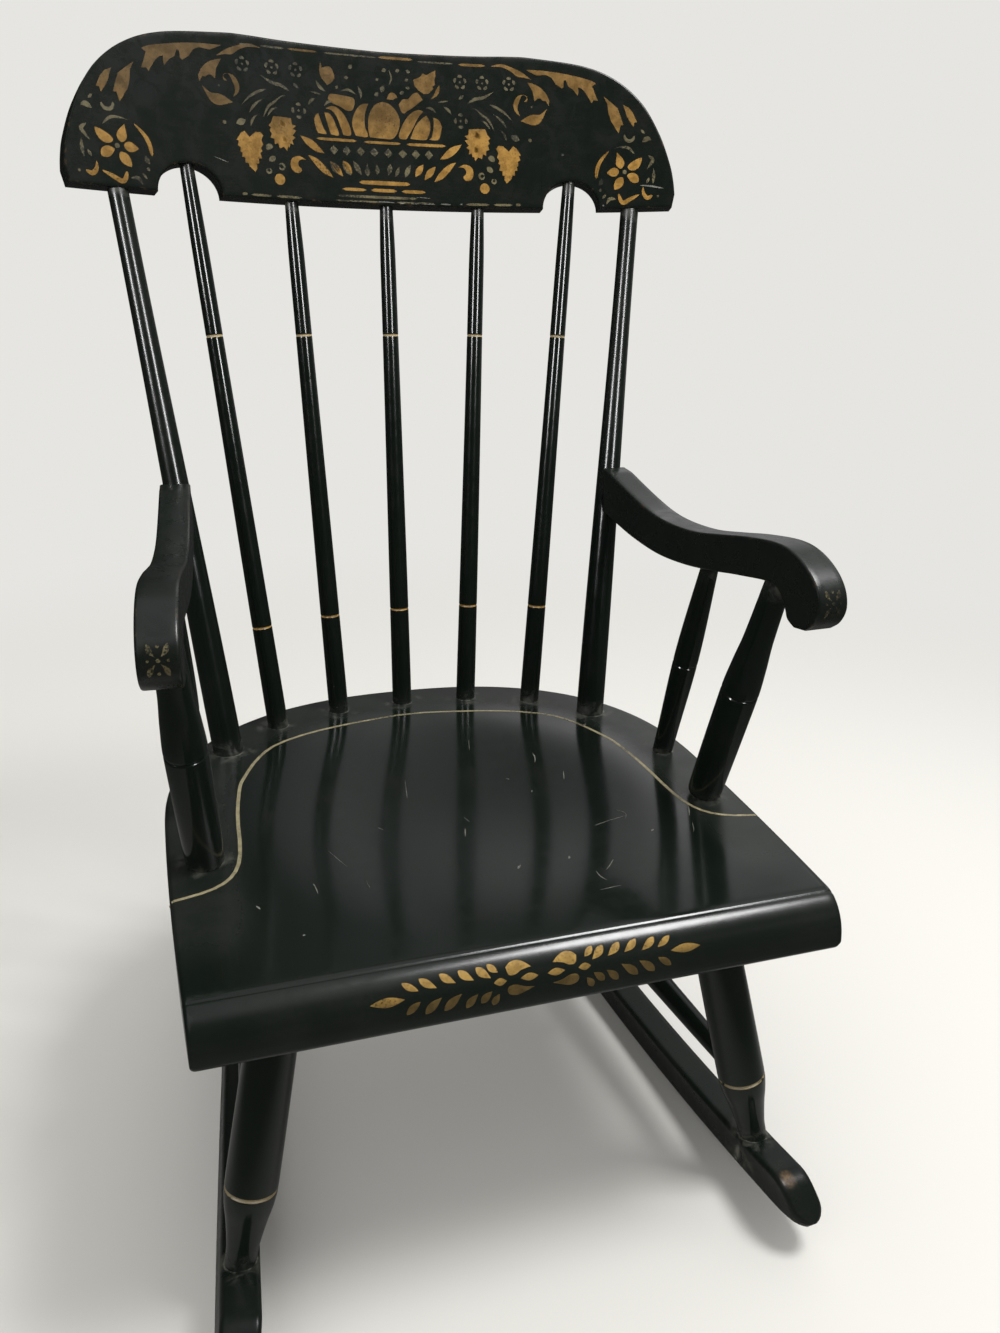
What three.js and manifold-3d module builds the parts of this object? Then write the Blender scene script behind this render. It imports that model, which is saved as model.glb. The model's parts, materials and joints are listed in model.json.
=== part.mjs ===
// Child's Boston rocking chair: a plank seat, a spindle back under a bent crest rail, scrolled arms,
// splayed turned legs and two curved rockers. Millimetres, +Z up. The chair faces -Y, and left and
// right are the sitter's, so +X is left. While it is built, z = 0 is the floor and y = 0 lies near the
// feet of the back posts. At the end the chair is moved so that it stands centred on the origin.
import * as THREE from "three";
import { mergeVertices } from "three/addons/utils/BufferGeometryUtils.js";
import Module from "manifold-3d";

// Fits
const clearance = 0.3; // between a piece and the socket, face or hole that holds it
const overrun = 8; // how far a cutter runs past the face that it opens
const weldDistance = 0.001; // vertices closer than this are one

// Seat
const seatHeight = 239; // floor to the top of the seat
const seatThickness = 31;
const seatHalfWidth = 185.5; // at its widest
const seatFrontHalfWidth = 179.5;
const seatWidestY = -94;
const seatBackReach = 176; // from the widest line to the back edge
const seatFrontReach = 192; // from the widest line to the front of the roll
const seatRoundPower = 2.36; // 2 would make the back of the outline an ellipse
const seatRollDepth = 20; // crease to the front of the roll
const seatRollDrop = 23.5; // height of the round on the front of the roll
const seatLowerRound = 4; // round under the front edge
const seatRimRound = 3; // round on the rim, above and below
const saddleDepth = 5.5;
const saddleHalfWidth = 142;
const saddleHalfLength = 148;

// Crest rail
const crestRise = 365.4; // seat to the middle of the crest's lower edge
const crestHeight = 100.2;
const crestHalfWidth = 209.6;
const crestThickness = 15;
const crestLean = THREE.MathUtils.degToRad(10.8);
const crestBendRadius = 800;
const crestMiddleY = 90.5;
const crestNotchHalfWidth = 20.6;
const crestNotchRise = 18.8;
// Upper edge from the lower corner to the middle: shares of the half width and of the height
const crestEdgeShares = [
  [0.99, 0],
  [1, 0.09],
  [0.996, 0.18],
  [0.984, 0.3],
  [0.949, 0.5],
  [0.89, 0.705],
  [0.802, 0.86],
  [0.689, 0.95],
  [0.515, 0.995],
  [0.43, 1],
  [0.3, 0.992],
  [0, 0.982],
];

// Back posts and spindles
const postFootX = 140;
const postHeadX = 178;
const postFootDiameter = 21;
const postHeadDiameter = 13;
const postFootDepth = 20; // how deep the foot goes into the seat
const postTenonDiameter = 9.5;
const postTenonLength = 30;
const headSink = 1.5; // a head goes into the crest rail this far before it steps down to its tenon
const rowSideInset = 19; // from the seat's widest edge to the row of feet
const rowBackInset = 24; // from the seat's back edge to the row of feet
const spindleFootShares = [-0.72, -0.37, 0, 0.37, 0.72]; // of postFootX
const spindleHeadShares = [-0.753, -0.373, 0, 0.373, 0.753]; // of postHeadX
const spindleFootDiameter = 15;
const spindleFootDepth = 16;
const spindleLowerDiameter = 14.3;
const spindleLowerRise = 77; // seat to the lower painted ring
const spindleUpperDiameter = 11.4;
const spindleUpperRise = 280; // seat to the upper painted ring
const spindleShoulderDiameter = 10.9;
const spindleShoulderRise = 330; // above it the spindle thins quickly
const spindleHeadDiameter = 8.8;
const spindleTenonDiameter = 7.4;
const spindleTenonLength = 16;
const spindleBow = 1; // the middle of a spindle stands this far in front of its chord
const crestPinDiameter = 3.6;
const crestPinLength = 11.5;
const crestPinRise = 14; // crest's lower edge to the pin

// Arms
const armWidth = 19.8;
const armLength = 278; // back post's axis line to the front of the scroll
const armBackRise = 188; // seat to the top of the arm's back end
const armSpan = 44.5; // from the underside of the scroll to the top of the back end
const armSplay = 16.5; // how much farther out the front end is than the back end
const armEdgeRound = 1.5;
const armWrap = 7.8; // the arm's end stops this far in front of the post's axis
// Shares of the arm's length and of its span, from the back end forwards
const armTopShares = [
  [0.07, 0.975],
  [0.207, 0.76],
  [0.315, 0.63],
  [0.41, 0.6],
  [0.52, 0.645],
  [0.623, 0.76],
  [0.73, 0.89],
  [0.83, 0.97],
  [0.895, 0.935],
  [0.95, 0.79],
  [0.985, 0.59],
  [0.997, 0.36],
];
const armScrollShares = [
  [0.985, 0.16],
  [0.96, 0.03],
  [0.925, 0],
  [0.9, 0.07],
  [0.884, 0.22],
];
const armUnderShares = [
  [0.84, 0.42],
  [0.716, 0.32],
  [0.598, 0.184],
  [0.48, 0.08],
  [0.36, 0.035],
  [0.24, 0.08],
  [0.13, 0.18],
  [0.02, 0.32],
];
const armSteps = 16; // straight steps along each long edge

// Arm posts and arm spindles
const armPostInset = 22; // from the seat's side edge to its foot
const armPostFootY = -146;
const armPostHeadShare = 0.8147; // of armLength, from the back post's axis
const armPostFootDiameter = 22.6;
const armPostFootRound = 4;
const armPostRingDiameter = 24;
const armPostRingRise = 83;
const armPostNeckDiameter = 18.4;
const armPostNeckRise = 122;
const armPostHeadDiameter = 15.6;
const armPostTenonDiameter = 11;
const armPostSeatDepth = 18;
const armTenonLength = 12;
const armTenonSink = 3; // the head goes in this far before it steps down to its tenon
const armSpindleInset = 20;
const armSpindleFootY = -78;
const armSpindleHeadShare = 0.548; // of armLength, from the back post's axis
const armSpindleFootDiameter = 14.4;
const armSpindleRingDiameter = 17;
const armSpindleRingRise = 76;
const armSpindleHeadDiameter = 11.3;
const armSpindleTenonDiameter = 8.5;
const armSpindleSeatDepth = 16;
const ringGrooveWidth = 1.6;
const ringGrooveDepth = 0.7;

// Screw and plug that hold the arm to the back post
const armScrewLength = 42;
const armScrewDiameter = 3.6;
const armScrewHeadDiameter = 7.4;
const armScrewHeadHeight = 2.6;
const armPlugDiameter = 8;
const armPlugLength = 2.6;
const armScrewDrop = 15; // top of the arm's back end to the screw

// Legs
const frontLegHeadX = 129.5; // at the underside of the seat
const frontLegHeadY = -221;
const frontLegFootX = 164.4; // on top of the rocker
const frontLegFootY = -251;
const rearLegHeadX = 110;
const rearLegHeadY = 5;
const rearLegFootX = 136;
const rearLegFootY = 70;
const legHeadDiameter = 28;
const legRingDiameter = 30.2;
const legRingRise = 45.5; // rocker to the ring
const legFootDiameter = 17.8;
const legNeckDiameter = 20.4;
const legNeckRise = 17; // rocker to the narrow of the foot
const legHeadSink = 9; // the head goes into the seat this far before its tenon
const legSeatTenonDiameter = 19;
const legSeatTenonLength = 10;
const legFootSink = 1.5;
const legRockerTenonDiameter = 12;
const legRockerTenonLength = 14;

// Rockers
const rockerThickness = 22.5;
const rockerHeight = 28.5;
const rockerCant = THREE.MathUtils.degToRad(10.5); // the soles stand farther apart than the tops
const rockerRadius = 1250;
const rockerRestY = -77; // the chair's weight is over this line, and the sole touches the floor there
const rockerFrontY = -314;
const rockerRearY = 245.5;
const rockerFacet = 26; // length of one straight step of the sole
const rockerEdgeRound = 3.5;
const rockerTipLength = 19; // shoulder to the tip's foremost point
const rockerTipShoulder = 9; // length of the round over the shoulder, on the top
const rockerTipShoulderShare = 0.4; // of the slanting end, rounded under the shoulder
const rockerTipNose = 4; // height of the tip's foremost point above the sole
const rockerTipCorner = 3; // the sole stops this far short of the tip's foremost point
const rockerTipRound = 10; // length over which a tip is rounded in plan
const rockerTipMargin = 0.6; // how far that round is wider than the rocker on each side
const rockerPinDiameter = 4;
const rockerPinLength = 18;
const rockerPinDepth = 11; // rocker's top to the pin

// Stretchers
const stretcherFrontRise = 84; // floor to the stretchers where they enter the front legs
const stretcherRearRise = 80;
const stretcherMiddleDiameter = 17;
const stretcherEndDiameter = 11.8;
const stretcherEndDepth = 11; // how deep an end goes into the leg
const crossStretcherShare = 0.5; // of the side stretcher, from the front
const crossStretcherMiddleDiameter = 15;
const crossStretcherEndDiameter = 8;
const crossStretcherEndDepth = 5;

// How finely round shapes are divided
const postSides = 18;
const spindleSides = 16;
const pinSides = 12;
const outlineSteps = 20;
const saddleSides = 40;
const saddleRings = 6;
const bendSteps = 16;
const notchSteps = 10;
const roundSteps = 7;

const left = { name: "left", sign: 1 };
const right = { name: "right", sign: -1 };
const sides = [left, right];

const lacquer = { color: 0x151714, roughness: 0.32, metalness: 0 };
const finishes = {
  seat: { ...lacquer, roughness: 0.24 },
  board: { ...lacquer, roughness: 0.4 },
  turning: lacquer,
  rocker: { ...lacquer, roughness: 0.45 },
  hardwood: { color: 0x1d1813, roughness: 0.5, metalness: 0 },
  steel: { color: 0x8f9092, roughness: 0.35, metalness: 1 },
};

const wasm = await Module();
wasm.setup();

// The solid of a mesh, where the mesh stands in the chair
function solidOf(mesh) {
  mesh.updateWorldMatrix(true, false);
  const source = mesh.geometry.index ? mesh.geometry.toNonIndexed() : mesh.geometry;
  const bare = new THREE.BufferGeometry();
  bare.setAttribute("position", source.getAttribute("position").clone());
  bare.applyMatrix4(mesh.matrixWorld);
  const merged = mergeVertices(bare, weldDistance);
  const vertProperties = new Float32Array(merged.getAttribute("position").array);
  const triVerts = new Uint32Array(merged.index.array);
  return new wasm.Manifold(new wasm.Mesh({ numProp: 3, vertProperties, triVerts }));
}

// Gives a mesh the shape of a solid that stands in the chair's frame
function takeShape(mesh, solid) {
  const { vertProperties, triVerts } = solid.getMesh();
  const geometry = new THREE.BufferGeometry();
  geometry.setAttribute("position", new THREE.BufferAttribute(vertProperties, 3));
  geometry.setIndex(new THREE.BufferAttribute(triVerts, 1));
  geometry.applyMatrix4(mesh.matrixWorld.clone().invert());
  const flat = geometry.toNonIndexed();
  flat.computeVertexNormals();
  mesh.geometry = flat;
}

// Cuts the sockets of the given pieces out of a mesh
function cutSockets(mesh, pieces) {
  let solid = solidOf(mesh);
  for (const piece of pieces) {
    solid = solid.subtract(solidOf(piece.userData.socket));
  }
  takeShape(mesh, solid);
}

function meshOf(name, geometry, finish) {
  const mesh = new THREE.Mesh(geometry, new THREE.MeshStandardMaterial(finish));
  mesh.name = name;
  return mesh;
}

// A closed turning about +Z, grown on every side. Stations are [distance along the axis, diameter],
// foot first, and a shoulder has two stations at one distance.
function lathe(stations, divisions, grow) {
  const outline = stations.map(([along, diameter], i) => {
    const before = i > 0 ? stations[i - 1][1] : 0;
    const after = i < stations.length - 1 ? stations[i + 1][1] : 0;
    const towardsHead = i === 0 ? -1 : i === stations.length - 1 ? 1 : Math.sign(before - after);
    return new THREE.Vector2(diameter / 2 + grow, along + grow * towardsHead);
  });
  const foot = new THREE.Vector2(0, outline[0].y);
  const head = new THREE.Vector2(0, outline[outline.length - 1].y);
  const profile = [foot, ...outline, head];
  return new THREE.LatheGeometry(profile, divisions).rotateX(Math.PI / 2);
}

// The station halfway between two others
function between([firstAlong, firstDiameter], [nextAlong, nextDiameter]) {
  return [(firstAlong + nextAlong) / 2, (firstDiameter + nextDiameter) / 2];
}

function ringGroove(along, diameter) {
  return [
    [along - ringGrooveWidth / 2, diameter],
    [along, diameter - 2 * ringGrooveDepth],
    [along + ringGrooveWidth / 2, diameter],
  ];
}

// Bows a turning of the given length towards -Y in a parabola that leaves both ends in place
function bowForward(geometry, length, bow) {
  const position = geometry.getAttribute("position");
  for (let i = 0; i < position.count; i += 1) {
    const share = position.getZ(i) / length;
    position.setY(i, position.getY(i) - 4 * bow * share * (1 - share));
  }
  return geometry;
}

// A turned piece from foot to head, which also carries the shape of its socket
function turned(name, { foot, head, stations, divisions = postSides, bow = 0, finish = finishes.turning }) {
  const length = foot.distanceTo(head);
  const shape = (grow) => bowForward(lathe(stations, divisions, grow), length, bow);
  const mesh = meshOf(name, shape(0), finish);
  mesh.position.copy(foot);
  mesh.quaternion.setFromUnitVectors(new THREE.Vector3(0, 0, 1), head.clone().sub(foot).normalize());
  mesh.userData.socket = meshOf(name, shape(clearance), finish);
  mesh.userData.socket.position.copy(mesh.position);
  mesh.userData.socket.quaternion.copy(mesh.quaternion);
  return mesh;
}

// Stands an upright side view in the chair: its x runs along forward, its y is up
function standAlong(object, origin, forward) {
  const up = new THREE.Vector3(0, 0, 1);
  const across = new THREE.Vector3().crossVectors(forward, up);
  object.quaternion.setFromRotationMatrix(new THREE.Matrix4().makeBasis(forward, up, across));
  object.position.copy(origin);
}

// A board of the given side view, centred on it, with rounded edges
function board(outline, thickness, round) {
  const geometry = new THREE.ExtrudeGeometry(new THREE.Shape(outline), {
    depth: thickness - 2 * round,
    bevelThickness: round,
    bevelSize: round,
    bevelOffset: -round,
    bevelSegments: 2,
  });
  return geometry.translate(0, 0, round - thickness / 2);
}

function pointsOf(shares, width, height) {
  return shares.map(([x, y]) => new THREE.Vector2(x * width, y * height));
}

// The height of a curve where it passes the given distance along
function heightAt(points, along) {
  const after = points.findIndex((p, i) => i > 0 && (p.x - along) * (points[i - 1].x - along) <= 0);
  const [a, b] = [points[after - 1], points[after]];
  return a.y + ((b.y - a.y) * (along - a.x)) / (b.x - a.x);
}

// Seat: half width of its outline at a given y, and the y of an inset outline's back at a given x
function seatHalfWidthAt(y) {
  if (y > seatWidestY) {
    const share = (y - seatWidestY) / seatBackReach;
    return seatHalfWidth * Math.pow(1 - Math.pow(share, seatRoundPower), 1 / seatRoundPower);
  }
  const share = (seatWidestY - y) / seatFrontReach;
  return seatHalfWidth - (seatHalfWidth - seatFrontHalfWidth) * share * share;
}

function rowYAt(x) {
  const share = Math.abs(x) / (seatHalfWidth - rowSideInset);
  const reach = seatBackReach - rowBackInset;
  return seatWidestY + reach * Math.pow(1 - Math.pow(share, seatRoundPower), 1 / seatRoundPower);
}

function seatOutline() {
  const half = [];
  for (let i = 0; i <= outlineSteps; i += 1) {
    const turn = (i / outlineSteps) * (Math.PI / 2);
    const power = 2 / seatRoundPower;
    const x = seatHalfWidth * Math.pow(Math.cos(turn), power);
    const y = seatWidestY + seatBackReach * Math.pow(Math.sin(turn), power);
    half.push(new THREE.Vector2(x, y));
  }
  const front = seatWidestY - seatFrontReach - overrun;
  half.unshift(new THREE.Vector2(seatFrontHalfWidth, front));
  const mirrored = half.slice(0, -1).reverse();
  return [...half, ...mirrored.map((p) => new THREE.Vector2(-p.x, p.y))];
}

// Side view of the seat's section: flat below, rolled at the front
function seatSection() {
  const frontY = seatWidestY - seatFrontReach;
  const backY = seatWidestY + seatBackReach + overrun;
  const section = new THREE.Shape();
  section.moveTo(backY, -seatThickness);
  section.lineTo(backY, 0);
  section.lineTo(frontY + seatRollDepth, 0);
  section.absellipse(
    frontY + seatRollDepth, -seatRollDrop, seatRollDepth, seatRollDrop, Math.PI / 2, Math.PI, false,
  );
  section.lineTo(frontY, -seatThickness + seatLowerRound);
  section.absarc(
    frontY + seatLowerRound, -seatThickness + seatLowerRound, seatLowerRound, Math.PI, 1.5 * Math.PI, false,
  );
  return section;
}

// The saddle: a round dish whose depth fades smoothly to nothing at its rim, stretched to an oval
function saddleCutter() {
  const profile = [];
  for (let i = 0; i <= saddleRings; i += 1) {
    const share = i / saddleRings;
    profile.push(new THREE.Vector2(share, -saddleDepth * Math.pow(1 - share * share, 2)));
  }
  profile.push(new THREE.Vector2(1, overrun));
  profile.push(new THREE.Vector2(0, overrun));
  const geometry = new THREE.LatheGeometry(profile, saddleSides).rotateX(Math.PI / 2);
  geometry.scale(saddleHalfWidth, saddleHalfLength, 1);
  const cutter = meshOf("saddle", geometry, finishes.seat);
  const creaseY = seatWidestY - seatFrontReach + seatRollDepth;
  cutter.position.set(0, creaseY + saddleHalfLength, seatHeight);
  return cutter;
}

function makeSeat() {
  const plank = new THREE.ExtrudeGeometry(new THREE.Shape(seatOutline()), {
    depth: seatThickness - 2 * seatRimRound,
    bevelThickness: seatRimRound,
    bevelSize: seatRimRound,
    bevelOffset: -seatRimRound,
    bevelSegments: 2,
  });
  plank.translate(0, 0, seatHeight - seatThickness + seatRimRound);
  const width = 2 * (seatHalfWidth + overrun);
  const roll = new THREE.ExtrudeGeometry(seatSection(), {
    depth: width,
    bevelEnabled: false,
    curveSegments: roundSteps,
  });
  roll.applyMatrix4(
    new THREE.Matrix4().makeBasis(
      new THREE.Vector3(0, 1, 0),
      new THREE.Vector3(0, 0, 1),
      new THREE.Vector3(1, 0, 0),
    ),
  );
  roll.translate(-width / 2, 0, seatHeight);
  const seat = meshOf("seat", plank, finishes.seat);
  const rolled = solidOf(seat).intersect(solidOf(meshOf("roll", roll, finishes.seat)));
  takeShape(seat, rolled.subtract(solidOf(saddleCutter())));
  return seat;
}

// Crest rail: its own frame has x across, y to the back and z up the leaning board
const crestFrame = new THREE.Group();
crestFrame.position.set(0, crestMiddleY, seatHeight + crestRise);
crestFrame.rotation.x = -crestLean;
crestFrame.updateMatrix();

function crestBendAt(x) {
  return Math.sqrt(crestBendRadius * crestBendRadius - x * x) - crestBendRadius;
}

function crestPoint(x, up) {
  return new THREE.Vector3(x, crestBendAt(x), up).applyMatrix4(crestFrame.matrix);
}

const notchX = spindleHeadShares[spindleHeadShares.length - 1] * postHeadX;

function crestOutline() {
  const corner = new THREE.SplineCurve(pointsOf(crestEdgeShares, crestHalfWidth, crestHeight));
  const upper = corner.getPoints(outlineSteps);
  const half = [];
  for (let i = 0; i <= notchSteps; i += 1) {
    const turn = Math.PI - (i / notchSteps) * Math.PI;
    half.push(
      new THREE.Vector2(
        notchX + crestNotchHalfWidth * Math.cos(turn),
        crestNotchRise * Math.sin(turn),
      ),
    );
  }
  half.push(...upper);
  const mirrored = half.slice(0, -1).reverse();
  return [...half, ...mirrored.map((p) => new THREE.Vector2(-p.x, p.y))];
}

// The bent board, sawn to its outline square to its face
function makeCrestRail() {
  const halfThickness = crestThickness / 2;
  const reach = crestHalfWidth + overrun;
  const front = [];
  const back = [];
  for (let i = 0; i <= bendSteps; i += 1) {
    const x = -reach + (2 * reach * i) / bendSteps;
    front.push(new THREE.Vector2(x, crestBendAt(x) - halfThickness));
    back.unshift(new THREE.Vector2(x, crestBendAt(x) + halfThickness));
  }
  const bent = new THREE.ExtrudeGeometry(new THREE.Shape([...front, ...back]), {
    depth: crestHeight + 2 * overrun,
    bevelEnabled: false,
  });
  bent.translate(0, 0, -overrun);
  const depth = 2 * (crestThickness + overrun - crestBendAt(reach));
  const sawn = new THREE.ExtrudeGeometry(new THREE.Shape(crestOutline()), { depth, bevelEnabled: false });
  sawn.rotateX(Math.PI / 2);
  sawn.translate(0, depth / 2, 0);
  const position = sawn.getAttribute("position");
  for (let i = 0; i < position.count; i += 1) {
    const x = position.getX(i);
    position.setX(i, (x * (crestBendRadius + position.getY(i))) / (crestBendRadius + crestBendAt(x)));
  }
  const rail = meshOf("crest_rail", bent, finishes.board);
  const saw = meshOf("outline", sawn, finishes.board);
  crestFrame.add(rail, saw);
  takeShape(rail, solidOf(rail).intersect(solidOf(saw)));
  crestFrame.remove(saw);
  return rail;
}

function makeBackPost(side) {
  const foot = new THREE.Vector3(side.sign * postFootX, rowYAt(postFootX), seatHeight);
  const head = crestPoint(side.sign * postHeadX, 0);
  const length = foot.distanceTo(head);
  const step = length + headSink;
  return turned("back_post_" + side.name, {
    foot,
    head,
    stations: [
      [-postFootDepth, postFootDiameter],
      [0, postFootDiameter],
      [step, postHeadDiameter],
      [step, postTenonDiameter],
      [step + postTenonLength, postTenonDiameter],
    ],
  });
}

function makeBackSpindle(index) {
  const footX = spindleFootShares[index] * postFootX;
  const headX = spindleHeadShares[index] * postHeadX;
  const foot = new THREE.Vector3(footX, rowYAt(footX), seatHeight);
  const notched = Math.abs(Math.abs(headX) - notchX) < crestNotchHalfWidth;
  const head = crestPoint(headX, notched ? crestNotchRise : 0);
  const length = foot.distanceTo(head);
  const along = (rise) => (rise * length) / (head.z - foot.z);
  const lower = [along(spindleLowerRise), spindleLowerDiameter];
  const upper = [along(spindleUpperRise), spindleUpperDiameter];
  const step = length + headSink;
  return turned("back_spindle_" + (index + 1), {
    foot,
    head,
    divisions: spindleSides,
    bow: spindleBow,
    stations: [
      [-spindleFootDepth, spindleFootDiameter],
      [0, spindleFootDiameter],
      lower,
      between(lower, upper),
      upper,
      [along(spindleShoulderRise), spindleShoulderDiameter],
      [step, spindleHeadDiameter],
      [step, spindleTenonDiameter],
      [step + spindleTenonLength, spindleTenonDiameter],
    ],
  });
}

// A pin from the crest's back face towards its front, through the post's tenon
function makeCrestPin(side, post) {
  const direction = new THREE.Vector3(0, -1, 0).applyQuaternion(crestFrame.quaternion);
  const across = new THREE.Vector3(0, 0, 1).applyQuaternion(post.quaternion);
  const reach = crestPinRise / (across.z * Math.cos(crestLean) + across.y * Math.sin(crestLean));
  const middle = crestPoint(side.sign * postHeadX, 0).addScaledVector(across, reach);
  const head = middle.clone().addScaledVector(direction, -crestThickness / 2);
  return turned("crest_pin_" + side.name, {
    foot: head,
    head: head.clone().addScaledVector(direction, crestPinLength),
    divisions: pinSides,
    finish: finishes.hardwood,
    stations: [
      [0, crestPinDiameter],
      [crestPinLength, crestPinDiameter],
    ],
  });
}

// Arm: a side view from the post forwards. Heights are counted from the underside of the scroll.
const armTop = new THREE.SplineCurve(pointsOf(armTopShares, armLength, armSpan)).getPoints(armSteps);
const armUnder = new THREE.SplineCurve(pointsOf(armUnderShares, armLength, armSpan)).getPoints(armSteps);
const armLow = seatHeight + armBackRise - armSpan;

function postAxisAt(side, z) {
  const foot = new THREE.Vector3(side.sign * postFootX, rowYAt(postFootX), seatHeight);
  const head = crestPoint(side.sign * postHeadX, 0);
  return foot.clone().lerp(head, (z - foot.z) / (head.z - foot.z));
}

// The arm's plan line: a point on the back post's axis and the direction forwards
function armLine(side) {
  const origin = postAxisAt(side, seatHeight + armBackRise);
  origin.z = armLow;
  const forward = new THREE.Vector3(side.sign * armSplay, -armLength, 0).normalize();
  return { origin, forward };
}

function armOutline(side) {
  const top = postAxisAt(side, armLow + armSpan);
  const slope = (height) => top.y - postAxisAt(side, armLow + height).y + armWrap;
  const lowest = armUnder[armUnder.length - 1];
  const scroll = pointsOf(armScrollShares, armLength, armSpan);
  return [
    new THREE.Vector2(slope(armSpan), armSpan),
    ...armTop,
    ...scroll,
    ...armUnder.slice(0, -1),
    new THREE.Vector2(slope(lowest.y), lowest.y),
  ].reverse();
}

function makeArm(side) {
  const arm = meshOf("arm_" + side.name, board(armOutline(side), armWidth, armEdgeRound), finishes.board);
  const { origin, forward } = armLine(side);
  standAlong(arm, origin, forward);
  return arm;
}

// The point on the arm's middle line at a given distance along it, on the underside
function armUndersideAt(side, along) {
  const { origin, forward } = armLine(side);
  const point = origin.clone().addScaledVector(forward, along);
  point.z = armLow + heightAt(armUnder, along);
  return point;
}

function makeArmPost(side) {
  const footX = side.sign * (seatHalfWidthAt(armPostFootY) - armPostInset);
  const foot = new THREE.Vector3(footX, armPostFootY, seatHeight);
  const head = armUndersideAt(side, armPostHeadShare * armLength);
  const length = foot.distanceTo(head);
  const along = (rise) => (rise * length) / (head.z - foot.z);
  const step = length + armTenonSink;
  return turned("arm_post_" + side.name, {
    foot,
    head,
    stations: [
      [-armPostSeatDepth, armPostFootDiameter - 2 * armPostFootRound],
      [0, armPostFootDiameter - armPostFootRound],
      [armPostFootRound, armPostFootDiameter],
      ...ringGroove(along(armPostRingRise), armPostRingDiameter),
      between([along(armPostRingRise), armPostRingDiameter], [along(armPostNeckRise), armPostNeckDiameter]),
      [along(armPostNeckRise), armPostNeckDiameter],
      [step, armPostHeadDiameter],
      [step, armPostTenonDiameter],
      [length + armTenonLength, armPostTenonDiameter],
    ],
  });
}

function makeArmSpindle(side) {
  const footX = side.sign * (seatHalfWidthAt(armSpindleFootY) - armSpindleInset);
  const foot = new THREE.Vector3(footX, armSpindleFootY, seatHeight);
  const head = armUndersideAt(side, armSpindleHeadShare * armLength);
  const length = foot.distanceTo(head);
  const along = (rise) => (rise * length) / (head.z - foot.z);
  const step = length + armTenonSink;
  return turned("arm_spindle_" + side.name, {
    foot,
    head,
    divisions: spindleSides,
    stations: [
      [-armSpindleSeatDepth, armSpindleFootDiameter],
      [0, armSpindleFootDiameter],
      ...ringGroove(along(armSpindleRingRise), armSpindleRingDiameter),
      [step, armSpindleHeadDiameter],
      [step, armSpindleTenonDiameter],
      [length + armTenonLength, armSpindleTenonDiameter],
    ],
  });
}

// The line from the back of the post, through its axis, into the end of the arm
function armScrewLine(side) {
  const axis = postAxisAt(side, seatHeight + armBackRise - armScrewDrop);
  const { forward } = armLine(side);
  const share = (armBackRise - armScrewDrop) / crestRise;
  const diameter = THREE.MathUtils.lerp(postFootDiameter, postHeadDiameter, share);
  return { start: axis.clone().addScaledVector(forward, -diameter / 2), forward };
}

function makeArmPlug(side) {
  const { start, forward } = armScrewLine(side);
  return turned("arm_plug_" + side.name, {
    foot: start,
    head: start.clone().addScaledVector(forward, armPlugLength),
    divisions: pinSides,
    finish: finishes.hardwood,
    stations: [
      [0, armPlugDiameter],
      [armPlugLength, armPlugDiameter],
    ],
  });
}

function makeArmScrew(side) {
  const { start, forward } = armScrewLine(side);
  const first = armPlugLength + clearance;
  const foot = start.clone().addScaledVector(forward, first);
  return turned("arm_screw_" + side.name, {
    foot,
    head: foot.clone().addScaledVector(forward, armScrewLength),
    divisions: pinSides,
    finish: finishes.steel,
    stations: [
      [0, armScrewHeadDiameter],
      [armScrewHeadHeight, armScrewHeadDiameter],
      [armScrewHeadHeight, armScrewDiameter],
      [armScrewLength - armScrewDiameter, armScrewDiameter],
      [armScrewLength, armScrewDiameter / 2],
    ],
  });
}

// Rockers: the height of the sole at a distance from the line where it touches the floor
function soleAt(along) {
  return rockerRadius - Math.sqrt(rockerRadius * rockerRadius - along * along);
}

// A rocker's plan line runs under the feet of its two legs
function rockerLine(side) {
  const front = new THREE.Vector3(side.sign * frontLegFootX, frontLegFootY, 0);
  const rear = new THREE.Vector3(side.sign * rearLegFootX, rearLegFootY, 0);
  const forward = front.clone().sub(rear).normalize();
  const origin = rear.addScaledVector(forward, (rockerRestY - rear.y) / forward.y);
  return { origin, forward };
}

function rockerTopAt(side, y) {
  const { origin, forward } = rockerLine(side);
  return soleAt((y - origin.y) / forward.y) + rockerHeight;
}

// How far outwards of the plan line the middle of a rocker lies at a given height
function rockerLeanAt(side, z) {
  return Math.tan(rockerCant) * (rockerTopAt(side, frontLegFootY) - z);
}

function rockerEnds(side) {
  const { origin, forward } = rockerLine(side);
  return {
    front: (rockerFrontY - origin.y) / forward.y,
    rear: (rockerRearY - origin.y) / forward.y,
  };
}

// The tip of a rocker in side view: from the sole, up the slanting end and over the shoulder
function rockerTip(end, direction) {
  const onTop = (inset) => {
    const along = end - direction * inset;
    return new THREE.Vector2(along, soleAt(along) + rockerHeight);
  };
  const shoulder = onTop(rockerTipLength);
  const nose = new THREE.Vector2(end, soleAt(end) + rockerTipNose);
  const under = shoulder.clone().lerp(nose, rockerTipShoulderShare);
  const over = onTop(rockerTipLength + rockerTipShoulder);
  const round = new THREE.QuadraticBezierCurve(under, shoulder, over).getPoints(roundSteps);
  return [new THREE.Vector2(end - direction * rockerTipCorner, soleAt(end)), nose, ...round];
}

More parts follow.
